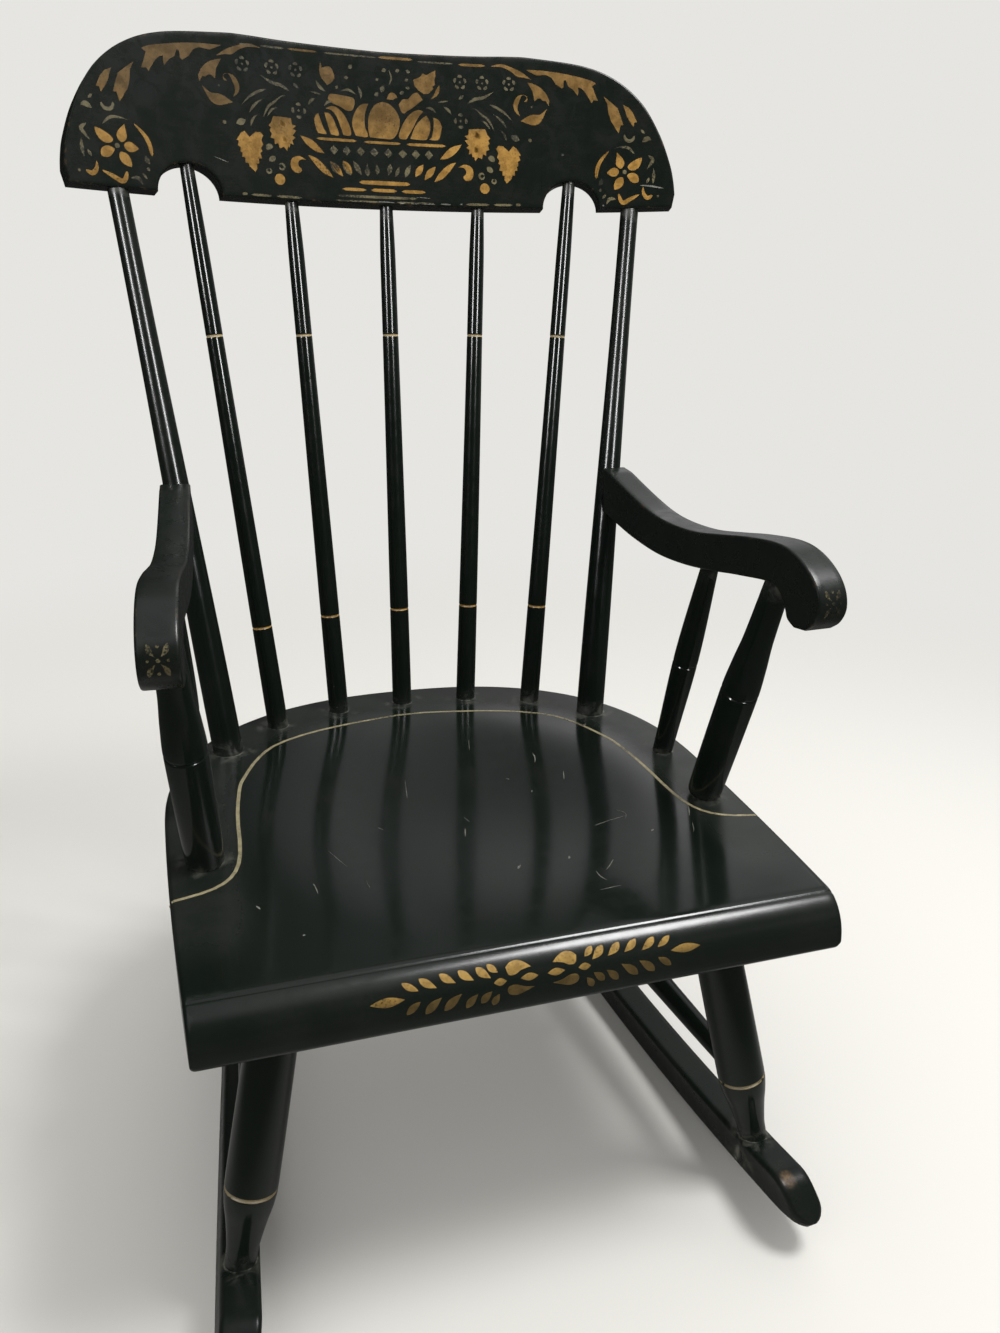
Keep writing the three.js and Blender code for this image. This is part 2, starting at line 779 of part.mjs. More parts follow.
function rockerOutline(side) {
  const { front, rear } = rockerEnds(side);
  const sole = [];
  for (let middle = Math.ceil(rear / rockerFacet); middle * rockerFacet < front; middle += 1) {
    const along = (middle + 0.5) * rockerFacet;
    if (along > rear + rockerTipLength / 2 && along < front - rockerTipLength / 2) {
      sole.push(new THREE.Vector2(along, soleAt(along) - soleAt(rockerFacet / 2)));
    }
  }
  const inset = rockerTipLength + rockerTipShoulder;
  const top = [];
  for (let i = outlineSteps - 1; i > 0; i -= 1) {
    const along = THREE.MathUtils.lerp(rear + inset, front - inset, i / outlineSteps);
    top.push(new THREE.Vector2(along, soleAt(along) + rockerHeight));
  }
  return [...sole, ...rockerTip(front, 1), ...top, ...rockerTip(rear, -1).reverse()];
}

// An upright block with the plan of a rocker: straight sides and rounded ends
function rockerPlan(side) {
  const { front, rear } = rockerEnds(side);
  const halfWidth = rockerThickness / 2 + rockerTipMargin;
  const right = Math.PI / 2;
  const plan = new THREE.Shape();
  plan.absellipse(front - rockerTipRound, 0, rockerTipRound, halfWidth, -right, right, false);
  plan.absellipse(rear + rockerTipRound, 0, rockerTipRound, halfWidth, right, 3 * right, false);
  const geometry = new THREE.ExtrudeGeometry(plan, {
    depth: seatHeight,
    bevelEnabled: false,
    curveSegments: roundSteps,
  });
  return geometry.rotateX(-right).translate(0, -overrun, 0);
}

// A board whose ends are rounded in plan, and which then leans so that its sole stands farther out
function makeRocker(side) {
  const upright = board(rockerOutline(side), rockerThickness, rockerEdgeRound);
  const rocker = meshOf("rocker_" + side.name, upright, finishes.rocker);
  const plan = meshOf("plan", rockerPlan(side), finishes.rocker);
  takeShape(rocker, solidOf(rocker).intersect(solidOf(plan)));
  const lean = side.sign * Math.tan(rockerCant);
  rocker.geometry.applyMatrix4(new THREE.Matrix4().makeShear(0, 0, 0, lean, 0, 0));
  rocker.geometry.translate(0, 0, -lean * rockerTopAt(side, frontLegFootY));
  const { origin, forward } = rockerLine(side);
  standAlong(rocker, origin, forward);
  return rocker;
}

// Legs: the same turning for all four, between the seat's underside and the top of the rocker
function makeLeg(name, headX, headY, footX, footY, side) {
  const foot = new THREE.Vector3(side.sign * footX, footY, rockerTopAt(side, footY));
  const head = new THREE.Vector3(side.sign * headX, headY, seatHeight - seatThickness);
  const length = foot.distanceTo(head);
  const along = (rise) => (rise * length) / (head.z - foot.z);
  return turned(name + "_" + side.name, {
    foot,
    head,
    stations: [
      [-legRockerTenonLength, legRockerTenonDiameter],
      [-legFootSink, legRockerTenonDiameter],
      [-legFootSink, legFootDiameter],
      [along(legNeckRise), legNeckDiameter],
      between([along(legNeckRise), legNeckDiameter], [along(legRingRise), legRingDiameter]),
      ...ringGroove(along(legRingRise), legRingDiameter),
      [length + legHeadSink, legHeadDiameter],
      [length + legHeadSink, legSeatTenonDiameter],
      [length + legHeadSink + legSeatTenonLength, legSeatTenonDiameter],
    ],
  });
}

function legAxisAt(leg, z) {
  const direction = new THREE.Vector3(0, 0, 1).applyQuaternion(leg.quaternion);
  return leg.position.clone().addScaledVector(direction, (z - leg.position.z) / direction.z);
}

// A pin square to the rocker's outer face, through the leg's tenon
function makeRockerPin(name, leg, side) {
  const { origin, forward } = rockerLine(side);
  const outward = new THREE.Vector3(0, 0, 1).cross(forward).multiplyScalar(side.sign);
  const middle = legAxisAt(leg, leg.position.z - rockerPinDepth);
  const face = rockerThickness / 2 + rockerLeanAt(side, middle.z);
  const reach = face - middle.clone().sub(origin).dot(outward);
  const normal = outward.multiplyScalar(Math.cos(rockerCant));
  normal.z = Math.sin(rockerCant);
  const start = middle.addScaledVector(normal, reach * Math.cos(rockerCant));
  return turned(name + "_" + side.name, {
    foot: start,
    head: start.clone().addScaledVector(normal, -rockerPinLength),
    divisions: pinSides,
    finish: finishes.hardwood,
    stations: [
      [0, rockerPinDiameter],
      [rockerPinLength, rockerPinDiameter],
    ],
  });
}

// A stretcher between two points on the axes of what holds it, thickest in the middle
function makeStretcher(name, from, to, ends, middleDiameter, endDiameter) {
  const length = from.distanceTo(to);
  return turned(name, {
    foot: from,
    head: to,
    divisions: spindleSides,
    stations: [
      [ends.start, endDiameter],
      [length / 4, (endDiameter + middleDiameter) / 2],
      [length / 2, middleDiameter],
      [(3 * length) / 4, (endDiameter + middleDiameter) / 2],
      [length - ends.stop, endDiameter],
    ],
  });
}

const seat = makeSeat();
const crestRail = makeCrestRail();
const spindles = spindleFootShares.map((_, index) => makeBackSpindle(index));
const posts = sides.map(makeBackPost);
const crestPins = sides.map((side, i) => makeCrestPin(side, posts[i]));
const arms = sides.map(makeArm);
const armPosts = sides.map(makeArmPost);
const armSpindles = sides.map(makeArmSpindle);
const armPlugs = sides.map(makeArmPlug);
const armScrews = sides.map(makeArmScrew);
const rockers = sides.map(makeRocker);
const frontLegs = sides.map((side) => {
  return makeLeg("front_leg", frontLegHeadX, frontLegHeadY, frontLegFootX, frontLegFootY, side);
});
const rearLegs = sides.map((side) => {
  return makeLeg("rear_leg", rearLegHeadX, rearLegHeadY, rearLegFootX, rearLegFootY, side);
});
const frontPins = sides.map((side, i) => makeRockerPin("rocker_pin_front", frontLegs[i], side));
const rearPins = sides.map((side, i) => makeRockerPin("rocker_pin_rear", rearLegs[i], side));
const legInset = legRingDiameter / 2 - stretcherEndDepth;
const sideStretchers = sides.map((side, i) => {
  const front = legAxisAt(frontLegs[i], stretcherFrontRise);
  const rear = legAxisAt(rearLegs[i], stretcherRearRise);
  const ends = { start: legInset, stop: legInset };
  return makeStretcher(
    "side_stretcher_" + side.name, front, rear, ends, stretcherMiddleDiameter, stretcherEndDiameter,
  );
});
const crossEnds = sides.map((side, i) => {
  const front = legAxisAt(frontLegs[i], stretcherFrontRise);
  return front.lerp(legAxisAt(rearLegs[i], stretcherRearRise), crossStretcherShare);
});
const crossInset = stretcherMiddleDiameter / 2 - crossStretcherEndDepth;
const crossStretcher = makeStretcher(
  "cross_stretcher",
  crossEnds[0],
  crossEnds[1],
  { start: crossInset, stop: crossInset },
  crossStretcherMiddleDiameter,
  crossStretcherEndDiameter,
);

const backPieces = [...spindles, ...posts];
cutSockets(seat, [...backPieces, ...armPosts, ...armSpindles, ...frontLegs, ...rearLegs]);
cutSockets(crestRail, [...backPieces, ...crestPins]);
for (const i of sides.keys()) {
  cutSockets(posts[i], [crestPins[i], armPlugs[i], armScrews[i]]);
  cutSockets(arms[i], [posts[i], armPosts[i], armSpindles[i], armScrews[i]]);
  cutSockets(rockers[i], [frontLegs[i], rearLegs[i], frontPins[i], rearPins[i]]);
  cutSockets(frontLegs[i], [frontPins[i], sideStretchers[i]]);
  cutSockets(rearLegs[i], [rearPins[i], sideStretchers[i]]);
  cutSockets(sideStretchers[i], [crossStretcher]);
}

const back = new THREE.Group();
back.add(crestFrame, ...spindles, ...posts, ...crestPins);
const armGroup = new THREE.Group();
armGroup.add(...arms, ...armPosts, ...armSpindles, ...armPlugs, ...armScrews);
const base = new THREE.Group();
base.add(...frontLegs, ...rearLegs, ...rockers, ...frontPins, ...rearPins);
base.add(...sideStretchers, crossStretcher);
const chair = new THREE.Group();
chair.add(seat, back, armGroup, base);

const box = new THREE.Box3().setFromObject(chair, true);
chair.position.set(-(box.min.x + box.max.x) / 2, -(box.min.y + box.max.y) / 2, -box.min.z);

export default chair;
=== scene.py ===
# Child's Boston rocking chair: black lacquered maple and pine, worn and waxed, with bronze powder stencils.
# Shapes are worked out in millimetres in the seat's own frame (x to the sitter's left, y to the back,
# z up from the seat's top) and are put into the model's frame, in metres, when a mesh is made.
import json
import math
from functools import partial

import bmesh
import bpy
import numpy as np
from mathutils import Matrix, Vector

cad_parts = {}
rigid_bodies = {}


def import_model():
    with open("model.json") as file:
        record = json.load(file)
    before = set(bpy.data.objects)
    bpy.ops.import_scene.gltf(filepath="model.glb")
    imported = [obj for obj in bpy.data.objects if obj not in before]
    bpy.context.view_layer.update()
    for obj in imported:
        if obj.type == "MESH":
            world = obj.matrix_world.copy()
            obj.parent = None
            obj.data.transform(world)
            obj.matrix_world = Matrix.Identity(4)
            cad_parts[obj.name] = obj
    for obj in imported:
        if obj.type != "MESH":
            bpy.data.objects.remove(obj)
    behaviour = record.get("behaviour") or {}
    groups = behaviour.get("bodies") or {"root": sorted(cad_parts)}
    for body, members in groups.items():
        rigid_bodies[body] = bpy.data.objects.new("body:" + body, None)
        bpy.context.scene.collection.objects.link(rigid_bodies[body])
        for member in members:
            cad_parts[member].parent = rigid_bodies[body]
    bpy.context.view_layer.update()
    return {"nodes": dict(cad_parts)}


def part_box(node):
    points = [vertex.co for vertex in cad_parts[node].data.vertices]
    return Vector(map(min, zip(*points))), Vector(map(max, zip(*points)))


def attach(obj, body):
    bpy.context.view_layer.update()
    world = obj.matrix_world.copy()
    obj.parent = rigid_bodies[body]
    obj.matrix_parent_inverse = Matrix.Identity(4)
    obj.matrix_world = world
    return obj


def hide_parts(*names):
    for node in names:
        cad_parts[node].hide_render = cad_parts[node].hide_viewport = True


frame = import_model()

mm = 0.001
scene = bpy.context.scene
print("frame loaded:", len(frame["nodes"]), "nodes")

# The seat's own frame: its back edge is at this y, in millimetres
seatBackY = 82.0
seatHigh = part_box("seat")[1]
seatOrigin = np.array([0.0, seatHigh.y - seatBackY * mm, seatHigh.z])
floorZ = -seatHigh.z / mm
sides = {"left": 1, "right": -1}
upward = np.array([0, 0, 1])


# Making meshes

def lengthAlong(line):
    # How far along a line of points each point lies
    return np.concatenate([[0], np.cumsum(np.linalg.norm(np.diff(line, axis=0), axis=1))])


def evenly(line, count):
    # Points at equal steps of length along a line of points
    run = lengthAlong(line)
    places = np.linspace(0, run[-1], count)
    return np.stack([np.interp(places, run, part) for part in line.T], 1)


def directions(line):
    # Which way a line of points runs at each of them
    along = np.gradient(line, axis=0)
    return along / np.linalg.norm(along, axis=1, keepdims=True)


def splineThrough(keys, count):
    # Catmull-Rom line: from key b to key c, with neighbours a and d, the point at share t is
    # b + t(c - a)/2 + t^2(2a - 5b + 4c - d)/2 + t^3(3b - a - 3c + d)/2
    keys = np.asarray(keys, float)
    padded = np.vstack([keys[:1], keys, keys[-1:]])
    place = np.linspace(0, len(keys) - 1, count)
    first = np.minimum(place.astype(int), len(keys) - 2)
    t = (place - first)[:, None]
    a, b, c, d = (padded[first + i] for i in range(4))
    return b + t * (c - a) / 2 + t**2 * (2 * a - 5 * b + 4 * c - d) / 2 + t**3 * (3 * b - a - 3 * c + d) / 2


def spaced(numbers, least):
    # Sorted numbers, without those that follow the one before too closely
    return numbers[np.concatenate([[True], np.diff(numbers) > least])]


def gridFaces(numbers, closed=False):
    # Four-sided faces between the rows and columns of a grid of vertex numbers
    if closed:
        numbers = np.concatenate([numbers, numbers[:, :1]], 1)
    corners = [numbers[:-1, :-1], numbers[1:, :-1], numbers[1:, 1:], numbers[:-1, 1:]]
    return np.stack([c.ravel() for c in corners], 1)


# What a surface has where its piece gives nothing else: far from edges, rings, feet and rubbed spots
far = 50.0
plainValues = {"edgeGap": far, "ringGap": far, "footGap": far, "rubbedGap": far, "dullShare": 0.3}


def makePiece(name, points, faces, material, slot, nodes=(), values=None, sharp=40, merge=0.004):
    # A closed mesh from points in the seat's frame, with its doubles merged and its faces turned out
    mesh = bpy.data.meshes.new(name)
    mesh.from_pydata((points * mm + seatOrigin).tolist(), [], [list(map(int, f)) for f in faces])
    for key, plain in plainValues.items():
        numbers = np.broadcast_to((values or {}).get(key, plain), len(points))
        mesh.attributes.new(key, "FLOAT", "POINT").data.foreach_set("value", numbers.astype(np.float32))
    work = bmesh.new()
    work.from_mesh(mesh)
    bmesh.ops.remove_doubles(work, verts=work.verts, dist=merge * mm)
    bmesh.ops.recalc_face_normals(work, faces=work.faces)
    work.to_mesh(mesh)
    work.free()
    mesh.shade_smooth()
    mesh.set_sharp_from_angle(angle=math.radians(sharp))
    mesh.materials.append(material)
    piece = bpy.data.objects.new(name, mesh)
    scene.collection.objects.link(piece)
    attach(piece, "root")
    if nodes:
        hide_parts(*nodes)


# Making materials

def hexColour(code):
    # An sRGB hex value as linear red, green, blue and one for alpha
    parts = [int(code[i:i + 2], 16) / 255 for i in (1, 3, 5)]
    return [p / 12.92 if p <= 0.04045 else ((p + 0.055) / 1.055) ** 2.4 for p in parts] + [1.0]


def fillInputs(node, inputs):
    # Inputs are in order, or under their names or numbers: a value, a hex colour or another node's output
    for key, value in inputs.items() if isinstance(inputs, dict) else enumerate(inputs):
        if isinstance(value, bpy.types.NodeSocket):
            node.id_data.links.new(value, node.inputs[key])
        else:
            node.inputs[key].default_value = hexColour(value) if isinstance(value, str) else value


def addNode(tree, kind, inputs=(), out=0, **settings):
    # Adds a node with its settings and links, and gives one of its outputs
    node = tree.nodes.new("ShaderNode" + kind)
    for key, value in settings.items():
        setattr(node, key, value)
    fillInputs(node, inputs)
    return node.outputs[out]


# Settings that many nodes share
smooth = {"interpolation_type": "SMOOTHSTEP"}  # a range from low to high becomes a smooth step
plus, times, most = {"operation": "ADD"}, {"operation": "MULTIPLY"}, {"operation": "MAXIMUM"}
scaledPlus = {"operation": "MULTIPLY_ADD"}
blend = {"data_type": "RGBA", "out": 2}
even = (1, 1, 1)


def newMaterial(name, noises):
    # A material, what adds its nodes, the place in the model, and noises of it. Each noise is the size
    # of its features in millimetres, its detail, roughness, stretch and warp.
    material = bpy.data.materials.new(name)
    material.use_nodes = True
    add = partial(addNode, material.node_tree)
    where = add("TexCoord", out="Object")
    made = [add("TexNoise", {"Vector": add("Mapping", {"Vector": where, "Scale": stretch}),
                             "Scale": 1 / (size * mm), "Detail": detail, "Roughness": rough,
                             "Distortion": warp})
            for size, detail, rough, stretch, warp in noises]
    return material, add, where, made


def setShader(material, inputs):
    # Fills the inputs of the material's shader, and gives the material back
    fillInputs(material.node_tree.nodes["Principled BSDF"], inputs)
    return material


lacquerColours = {
    "black": "#0e1410",  # carbon black in oil varnish, gone slightly green
    "brown": "#1c1812",  # where the coat is thin and the wood's warmth comes through
    "wood": "#5c412a",  # bare maple, rubbed and handled
    "dust": "#77776c",
    # a pale scuffing on worn edges, which also stands in as painted highlight along their rounds
    "paleScuffAndGleam": "#8b897c",
    "gold": "#b08a48",  # brushed bronze paint
    "goldDark": "#7a5c2c",
    "goldPale": "#a39470",  # the same paint high on the spindles
    "goldDull": "#6d654c",  # and low on the legs, rubbed and dirty
    "rubbed": "#4b3828",
    "rubbedPale": "#66543a",
}


def lacquer(name, look):
    # Aged black lacquer: a deep varnish gloss that daily handling has dulled in places, so the roughness
    # follows the dull share and a little noise, edges rub through, on most pieces to a pale scuffing that is
    # also painted highlight along their rounds, and dust sits round the feet that stand on it. The mesh gives
    # the distance to the nearest edge (edgeGap), painted ring (ringGap), standing foot (footGap) and rubbed
    # spot (rubbedGap) in millimetres, and how dull the coat is from 0 to 1 (dullShare).
    tint = lacquerColours
    look = {"wearAndGleamColour": tint["paleScuffAndGleam"], **look}
    material, add, where, (grain, cloud, fine, smudge) = newMaterial(name, [
        (look["grain"], 3, 0.55, look["stretch"], 0), (42, 2, 0.55, even, 0), (2.2, 3, 0.6, even, 0),
        (12, 4, 0.6, even, 0.6)])
    edgeGap, ringGap, footGap, rubbedGap, dull = [
        add("Attribute", out="Fac", attribute_name=key, attribute_type="GEOMETRY") for key in plainValues]

    # Where the coat is worn through at the edges (partly painted edge highlight), rubbed, dusty or painted: a
    # gap that a noise pushes about by so many millimetres, and the two gaps between which the mark comes in
    bareAndGleam, rubbed, line, patch, gold = [
        add("MapRange", [add("Math", [noise, push, gap], **scaledPlus), start, full], **smooth)
        for gap, noise, push, start, full in (
            (edgeGap, fine, 1.6, look["wearAndGleamReach"] + 0.5, look["wearAndGleamReach"]),
            (rubbedGap, smudge, 6.0, 9.0, 4.5),
            (footGap, fine, 1.4, 2.4, 1.0),
            (footGap, fine, 1.4, 14.0, 1.5),
            (ringGap, fine, 0.5, 0.4, 0.1))]
    grainy = add("MapRange", [grain, 0.5, 0.72], **smooth)

    # Each comes and goes with a noise, and so do the thin places of the coat and the film of dust
    thin, bareAndGleam, line, patch, gold, layer = [
        add("Math", [share, add("MapRange", [noise, low, high, least, full], **smooth)], **times)
        for share, noise, low, high, least, full in (
            (grainy, cloud, 0.4, 0.66, 0, look["thin"]),
            (bareAndGleam, smudge, *look["wearAndGleamWhere"], 0, look["wearAndGleamShare"]),
            (line, smudge, 0.34, 0.54, 0, 0.62),
            (patch, smudge, 0.42, 0.7, 0, 0.34),
            (gold, smudge, 0.3, 0.4, 0, 1),
            (dull, cloud, 0.3, 0.7, 0.35 * look["film"], look["film"]))]
    layer = add("Math", [layer, add("MapRange", [fine, 0.25, 0.75, 0.55, 1], **smooth)], **times)
    dust = add("Math", [add("Math", [line, patch], **most), layer], **most)

    # Colours, each mixed over the one before: what is worn through at edges, a pale scuffing that is also
    # painted highlight, and the rings, a brushed line of bronze paint, paler above the arms and dirty near
    # the floor
    up = add("SeparateXYZ", [where], out="Z")
    share = add("MapRange", [fine, 0.4, 0.6], **smooth)
    scuffAndGleam = add("Mix", {0: share, 6: tint["wood"], 7: look["wearAndGleamColour"]}, **blend)
    share = add("MapRange", [fine, 0.35, 0.65], **smooth)
    wood = add("Mix", {0: share, 6: tint["rubbed"], 7: tint["rubbedPale"]}, **blend)
    paint = tint["goldDark"]
    for source, low, high, full, over in ((fine, 0.35, 0.6, 1, "gold"), (up, 0.12, 0.1, 0.85, "goldDull"),
                                          (up, 0.4, 0.44, 0.8, "goldPale")):
        share = add("MapRange", [source, low, high, 0, full], **smooth)
        paint = add("Mix", {0: share, 6: paint, 7: tint[over]}, **blend)
    colour = tint["black"]
    for share, over in ((thin, tint["brown"]), (bareAndGleam, scuffAndGleam), (add("Math", [rubbed, 0.8], **times), wood),
                        (dust, tint["dust"]), (gold, paint)):
        colour = add("Mix", {0: share, 6: colour, 7: over}, **blend)

    haze = add("MapRange", [smudge, 0.3, 0.7, -look["haze"], look["haze"]], **smooth)
    rough = add("Math", [add("Mix", {0: dull, 2: look["gloss"], 3: look["satin"]}), haze], **plus)
    for share, over in ((dust, 0.7), (rubbed, 0.38), (gold, 0.5)):
        rough = add("Mix", {0: share, 2: rough, 3: over})
    height = add("Math", [fine, look["peel"], add("Math", [grain, look["relief"]], **times)], **scaledPlus)
    bump = add("Bump", {"Height": height, "Strength": 1.0, "Distance": look["bump"] * mm})
    return setShader(material, {"Base Color": colour, "Roughness": rough, "IOR": look["ior"], "Normal": bump})


plainPaint = {"metal": 0.0, "dimFrom": (0.6, 0.7), "dimTop": 0.0, "dimSide": 0.0, "drift": 8 * mm}


def bronze(name, look):
    # Bronze powder rubbed through a stencil on to sticky varnish: a flat tan gold, fuller in patches of a
    # noise, speckled where the powder missed, greyed where the varnish has worn, and dimmer from one
    # height to another, with some drift, and to the sitter's right.
    look = {**plainPaint, **look}
    material, add, where, (speck, cloud, broad) = newMaterial(name, [
        (1.1, 3, 0.65, even, 0), (6, 3, 0.55, even, 0), (45, 2, 0.55, even, 0)])
    x, z = (add("SeparateXYZ", [where], out=axis) for axis in "XZ")
    worn = add("Math", [broad, 0.6, add("Math", [speck, 0.5], **times)], **scaledPlus)
    worn = add("MapRange", [worn, look["worn"], look["worn"] + 0.1, 0, look["gone"]], **smooth)
    drift = add("MapRange", [broad, 0.3, 0.7, -look["drift"], look["drift"]], **smooth)
    level = add("Math", [z, drift], **plus)
    # Darker from one height to another; on the seat's roll this darkens the lower, downward-facing rows as
    # painted shade
    dim = add("Math", [add("MapRange", [level, *look["dimFrom"], 0, look["dimTop"]], **smooth),
                       add("MapRange", [x, 0.1, -0.1, 0, look["dimSide"]], **smooth)], **plus)
    colour = look["deep"]
    for share, over in ((add("MapRange", [cloud, 0.35, 0.65], **smooth), look["full"]),
                        (add("MapRange", [speck, 0.5, 0.68, 0, 0.55], **smooth), look["speck"]),
                        (add("Math", [worn, dim], **most), lacquerColours["black"])):
        colour = add("Mix", {0: share, 6: colour, 7: over}, **blend)
    rough = add("MapRange", [cloud, 0.3, 0.7, look["roughness"] - 0.06, look["roughness"] + 0.08], **smooth)
    bump = add("Bump", {"Height": speck, "Strength": 0.25, "Distance": 0.03 * mm})
    return setShader(material, {"Base Color": colour, "Roughness": rough, "Metallic": look["metal"],
                                "Normal": bump})


def plainWood(name, look):
    # End grain of a hardwood pin, lacquered over with the rest: fine dark pores on a brownish black
    material, add, _, (pores, rings) = newMaterial(name, [
        (0.5, 2, 0.7, even, 0), (2.4, 2, 0.5, (1, 1, 0.4), 0.8)])
    ground = add("Mix", {0: rings, 6: look["dark"], 7: look["pale"]}, **blend)
    share = add("MapRange", [pores, 0.56, 0.66, 0, 0.7], **smooth)
    colour = add("Mix", {0: share, 6: ground, 7: look["pore"]}, **blend)
    bump = add("Bump", {"Height": pores, "Strength": 0.3, "Distance": 0.04 * mm})
    return setShader(material, {"Base Color": colour, "Roughness": look["roughness"], "Normal": bump})


def dullSteel(name, look):
    # Mild steel of a wood screw: bright grey, and darker and rougher where it has tarnished
    material, add, _, (tarnish,) = newMaterial(name, [(3, 3, 0.55, even, 0)])
    colour = add("Mix", {0: tarnish, 6: look["bright"], 7: look["tarnished"]}, **blend)
    rough = add("MapRange", [tarnish, 0.3, 0.7, *look["roughness"]], **smooth)
    return setShader(material, {"Base Color": colour, "Roughness": rough, "Metallic": 1.0})


seatLacquer = lacquer("seat_lacquer", {
    "grain": 1.6, "stretch": (1, 0.06, 1), "thin": 0.3, "wearAndGleamReach": 0.2, "wearAndGleamWhere": (0.5, 0.6),
    "wearAndGleamShare": 0.4, "film": 0.05, "gloss": 0.13, "satin": 0.34, "haze": 0.02, "ior": 1.48,
    "relief": 0.3, "peel": 0.3, "bump": 0.012,
})
boardLacquer = lacquer("board_lacquer", {
    "grain": 1.3, "stretch": (0.04, 1, 1), "thin": 0.7, "wearAndGleamReach": 0.35, "wearAndGleamWhere": (0.48, 0.6),
    "wearAndGleamShare": 0.6, "film": 0.06, "gloss": 0.22, "satin": 0.36, "haze": 0.05, "ior": 1.36,
    "relief": 0.8, "peel": 0.4, "bump": 0.016,
})
armLacquer = lacquer("arm_lacquer", {
    "grain": 1.3, "stretch": (1, 0.06, 1), "thin": 0.5, "wearAndGleamReach": 0.35, "wearAndGleamWhere": (0.5, 0.62),
    "wearAndGleamShare": 0.5, "film": 0.05, "gloss": 0.26, "satin": 0.38, "haze": 0.05, "ior": 1.5,
    "relief": 0.5, "peel": 0.4, "bump": 0.012,
})
turningLacquer = lacquer("turning_lacquer", {
    "grain": 1.0, "stretch": (1, 1, 0.08), "thin": 0.35, "wearAndGleamReach": 0.1, "wearAndGleamWhere": (0.4, 0.55),
    "wearAndGleamShare": 0.4, "film": 0.06, "gloss": 0.14, "satin": 0.34, "haze": 0.03, "ior": 1.42,
    "relief": 0.2, "peel": 0.2, "bump": 0.003,
})
rockerLacquer = lacquer("rocker_lacquer", {
    "grain": 1.4, "stretch": (1, 0.07, 1), "thin": 0.6, "wearAndGleamReach": 0.2, "wearAndGleamWhere": (0.56, 0.66),
    "wearAndGleamShare": 0.6, "wearAndGleamColour": lacquerColours["wood"], "film": 0.04, "gloss": 0.26, "satin": 0.36,
    "haze": 0.05, "ior": 1.3, "relief": 0.6, "peel": 0.5, "bump": 0.02,
})
stencilBronze = bronze("stencil_bronze", {
    "full": "#b2863a", "deep": "#97702f", "speck": "#5c441d", "worn": 0.62, "gone": 0.85, "roughness": 0.4,
    "metal": 0.35, "dimFrom": (0.635, 0.675), "dimTop": 0.5, "dimSide": 0.26,
})
# On the seat's roll the dimming runs downwards: the lower rows, which face the floor, are darkened towards
# black as painted shade
rollBronze = bronze("rubbed_stencil_bronze_painted_shade", {
    "full": "#ab8945", "deep": "#90733b", "speck": "#5c441d", "worn": 0.6, "gone": 0.85, "roughness": 0.4,
    "metal": 0.3, "dimFrom": (0.2305, 0.2225), "dimTop": 0.72, "drift": 1 * mm,
})
fadedBronze = bronze("faded_bronze", {
    "full": "#6f6644", "deep": "#574e33", "speck": "#332e20", "worn": 0.53, "gone": 0.9, "roughness": 0.42,
    "metal": 0.15, "dimFrom": (0.635, 0.675), "dimTop": 0.3, "dimSide": 0.2,
})
pinstripePaint = bronze("pinstripe_paint", {
    "full": "#948b6c", "deep": "#7d7459", "speck": "#5d563f", "worn": 0.6, "gone": 0.8, "roughness": 0.42,
})
# Pale scratches in the coat; on the crest's lower edge the same paint is also painted highlight of its round
paleScratchAndGleam = bronze("bare_scratch_and_gleam", {
    "full": "#7c7b72", "deep": "#5c5b54", "speck": "#2e2f2b", "worn": 0.56, "gone": 0.8, "roughness": 0.6,
})
pinWood = plainWood("lacquered_end_grain", {
    "dark": "#15120d", "pale": "#241d14", "pore": "#0b0906", "roughness": 0.4,
})
screwSteel = dullSteel("dull_steel", {"bright": "#8f9092", "tarnished": "#6f6a62", "roughness": (0.28, 0.5)})
print("materials made")


# Seat: one plank of pine with a dished saddle, a round rim and a rolled front edge

seat = {
    "thickness": 31.0,
    "halfWidth": 185.5,  # at its widest
    "frontHalfWidth": 179.5,
    "widestY": -94.0,
    "backReach": 176.0,  # from the widest line to the back
    "frontReach": 192.0,
    "roundPower": 2.36,
    "rollDepth": 20.0,
    "rollDrop": 23.5,
    "lowerRound": 4.0,
    "rimRound": 3.0,
    "rimShare": 0.42,  # the most that a rim takes of the plank's height
    "saddleDepth": 5.5,
    "saddleHalfWidth": 142.0,
    "saddleHalfLength": 148.0,
    "creaseY": -271.0,
    "creaseWidth": 0.8,
    "creaseDepth": 0.45,
    "creaseSpread": 2.4,
    "borderWidth": 50.0,  # of the dull border outside the saddle
    "borderFade": 22.0,
    "borderFront": (14.0, 50.0),  # behind the crease, where it starts and over how far
    "rollDull": 0.5,
    "rollFront": (8.0, 16.0),
    "rowSideInset": 19.0,  # from the widest edge to the row of feet
    "rowBackInset": 24.0,
    # Columns over the top, rows of the back, roll, crease, middle and walls, and columns round a rim
    "across": 130, "backRows": 84, "rollRows": 34, "creaseRows": 13, "middleRows": 62, "wallRows": 4,
    "rimColumns": 7,
    "leastStep": 0.02,
    "backMostShare": 0.999999,  # how much of the back is drawn, so that its last line keeps some width
}
seat["frontY"] = seat["widestY"] - seat["frontReach"]
seat["rollY"] = seat["frontY"] + seat["rollDepth"]
seat["saddleY"] = seat["rollY"] + seat["saddleHalfLength"]
quarterTurn = np.pi / 2


def seatHalfWidthAt(y):
    # Behind the widest line a superellipse, before it a width that falls with the square of the distance
    behind = np.clip((y - seat["widestY"]) / seat["backReach"], 0, 1)
    before = np.clip((seat["widestY"] - y) / seat["frontReach"], 0, 1)
    power = seat["roundPower"]
    back = seat["halfWidth"] * (1 - behind**power) ** (1 / power)
    front = seat["halfWidth"] - (seat["halfWidth"] - seat["frontHalfWidth"]) * before**2
    return np.where(y > seat["widestY"], back, front)


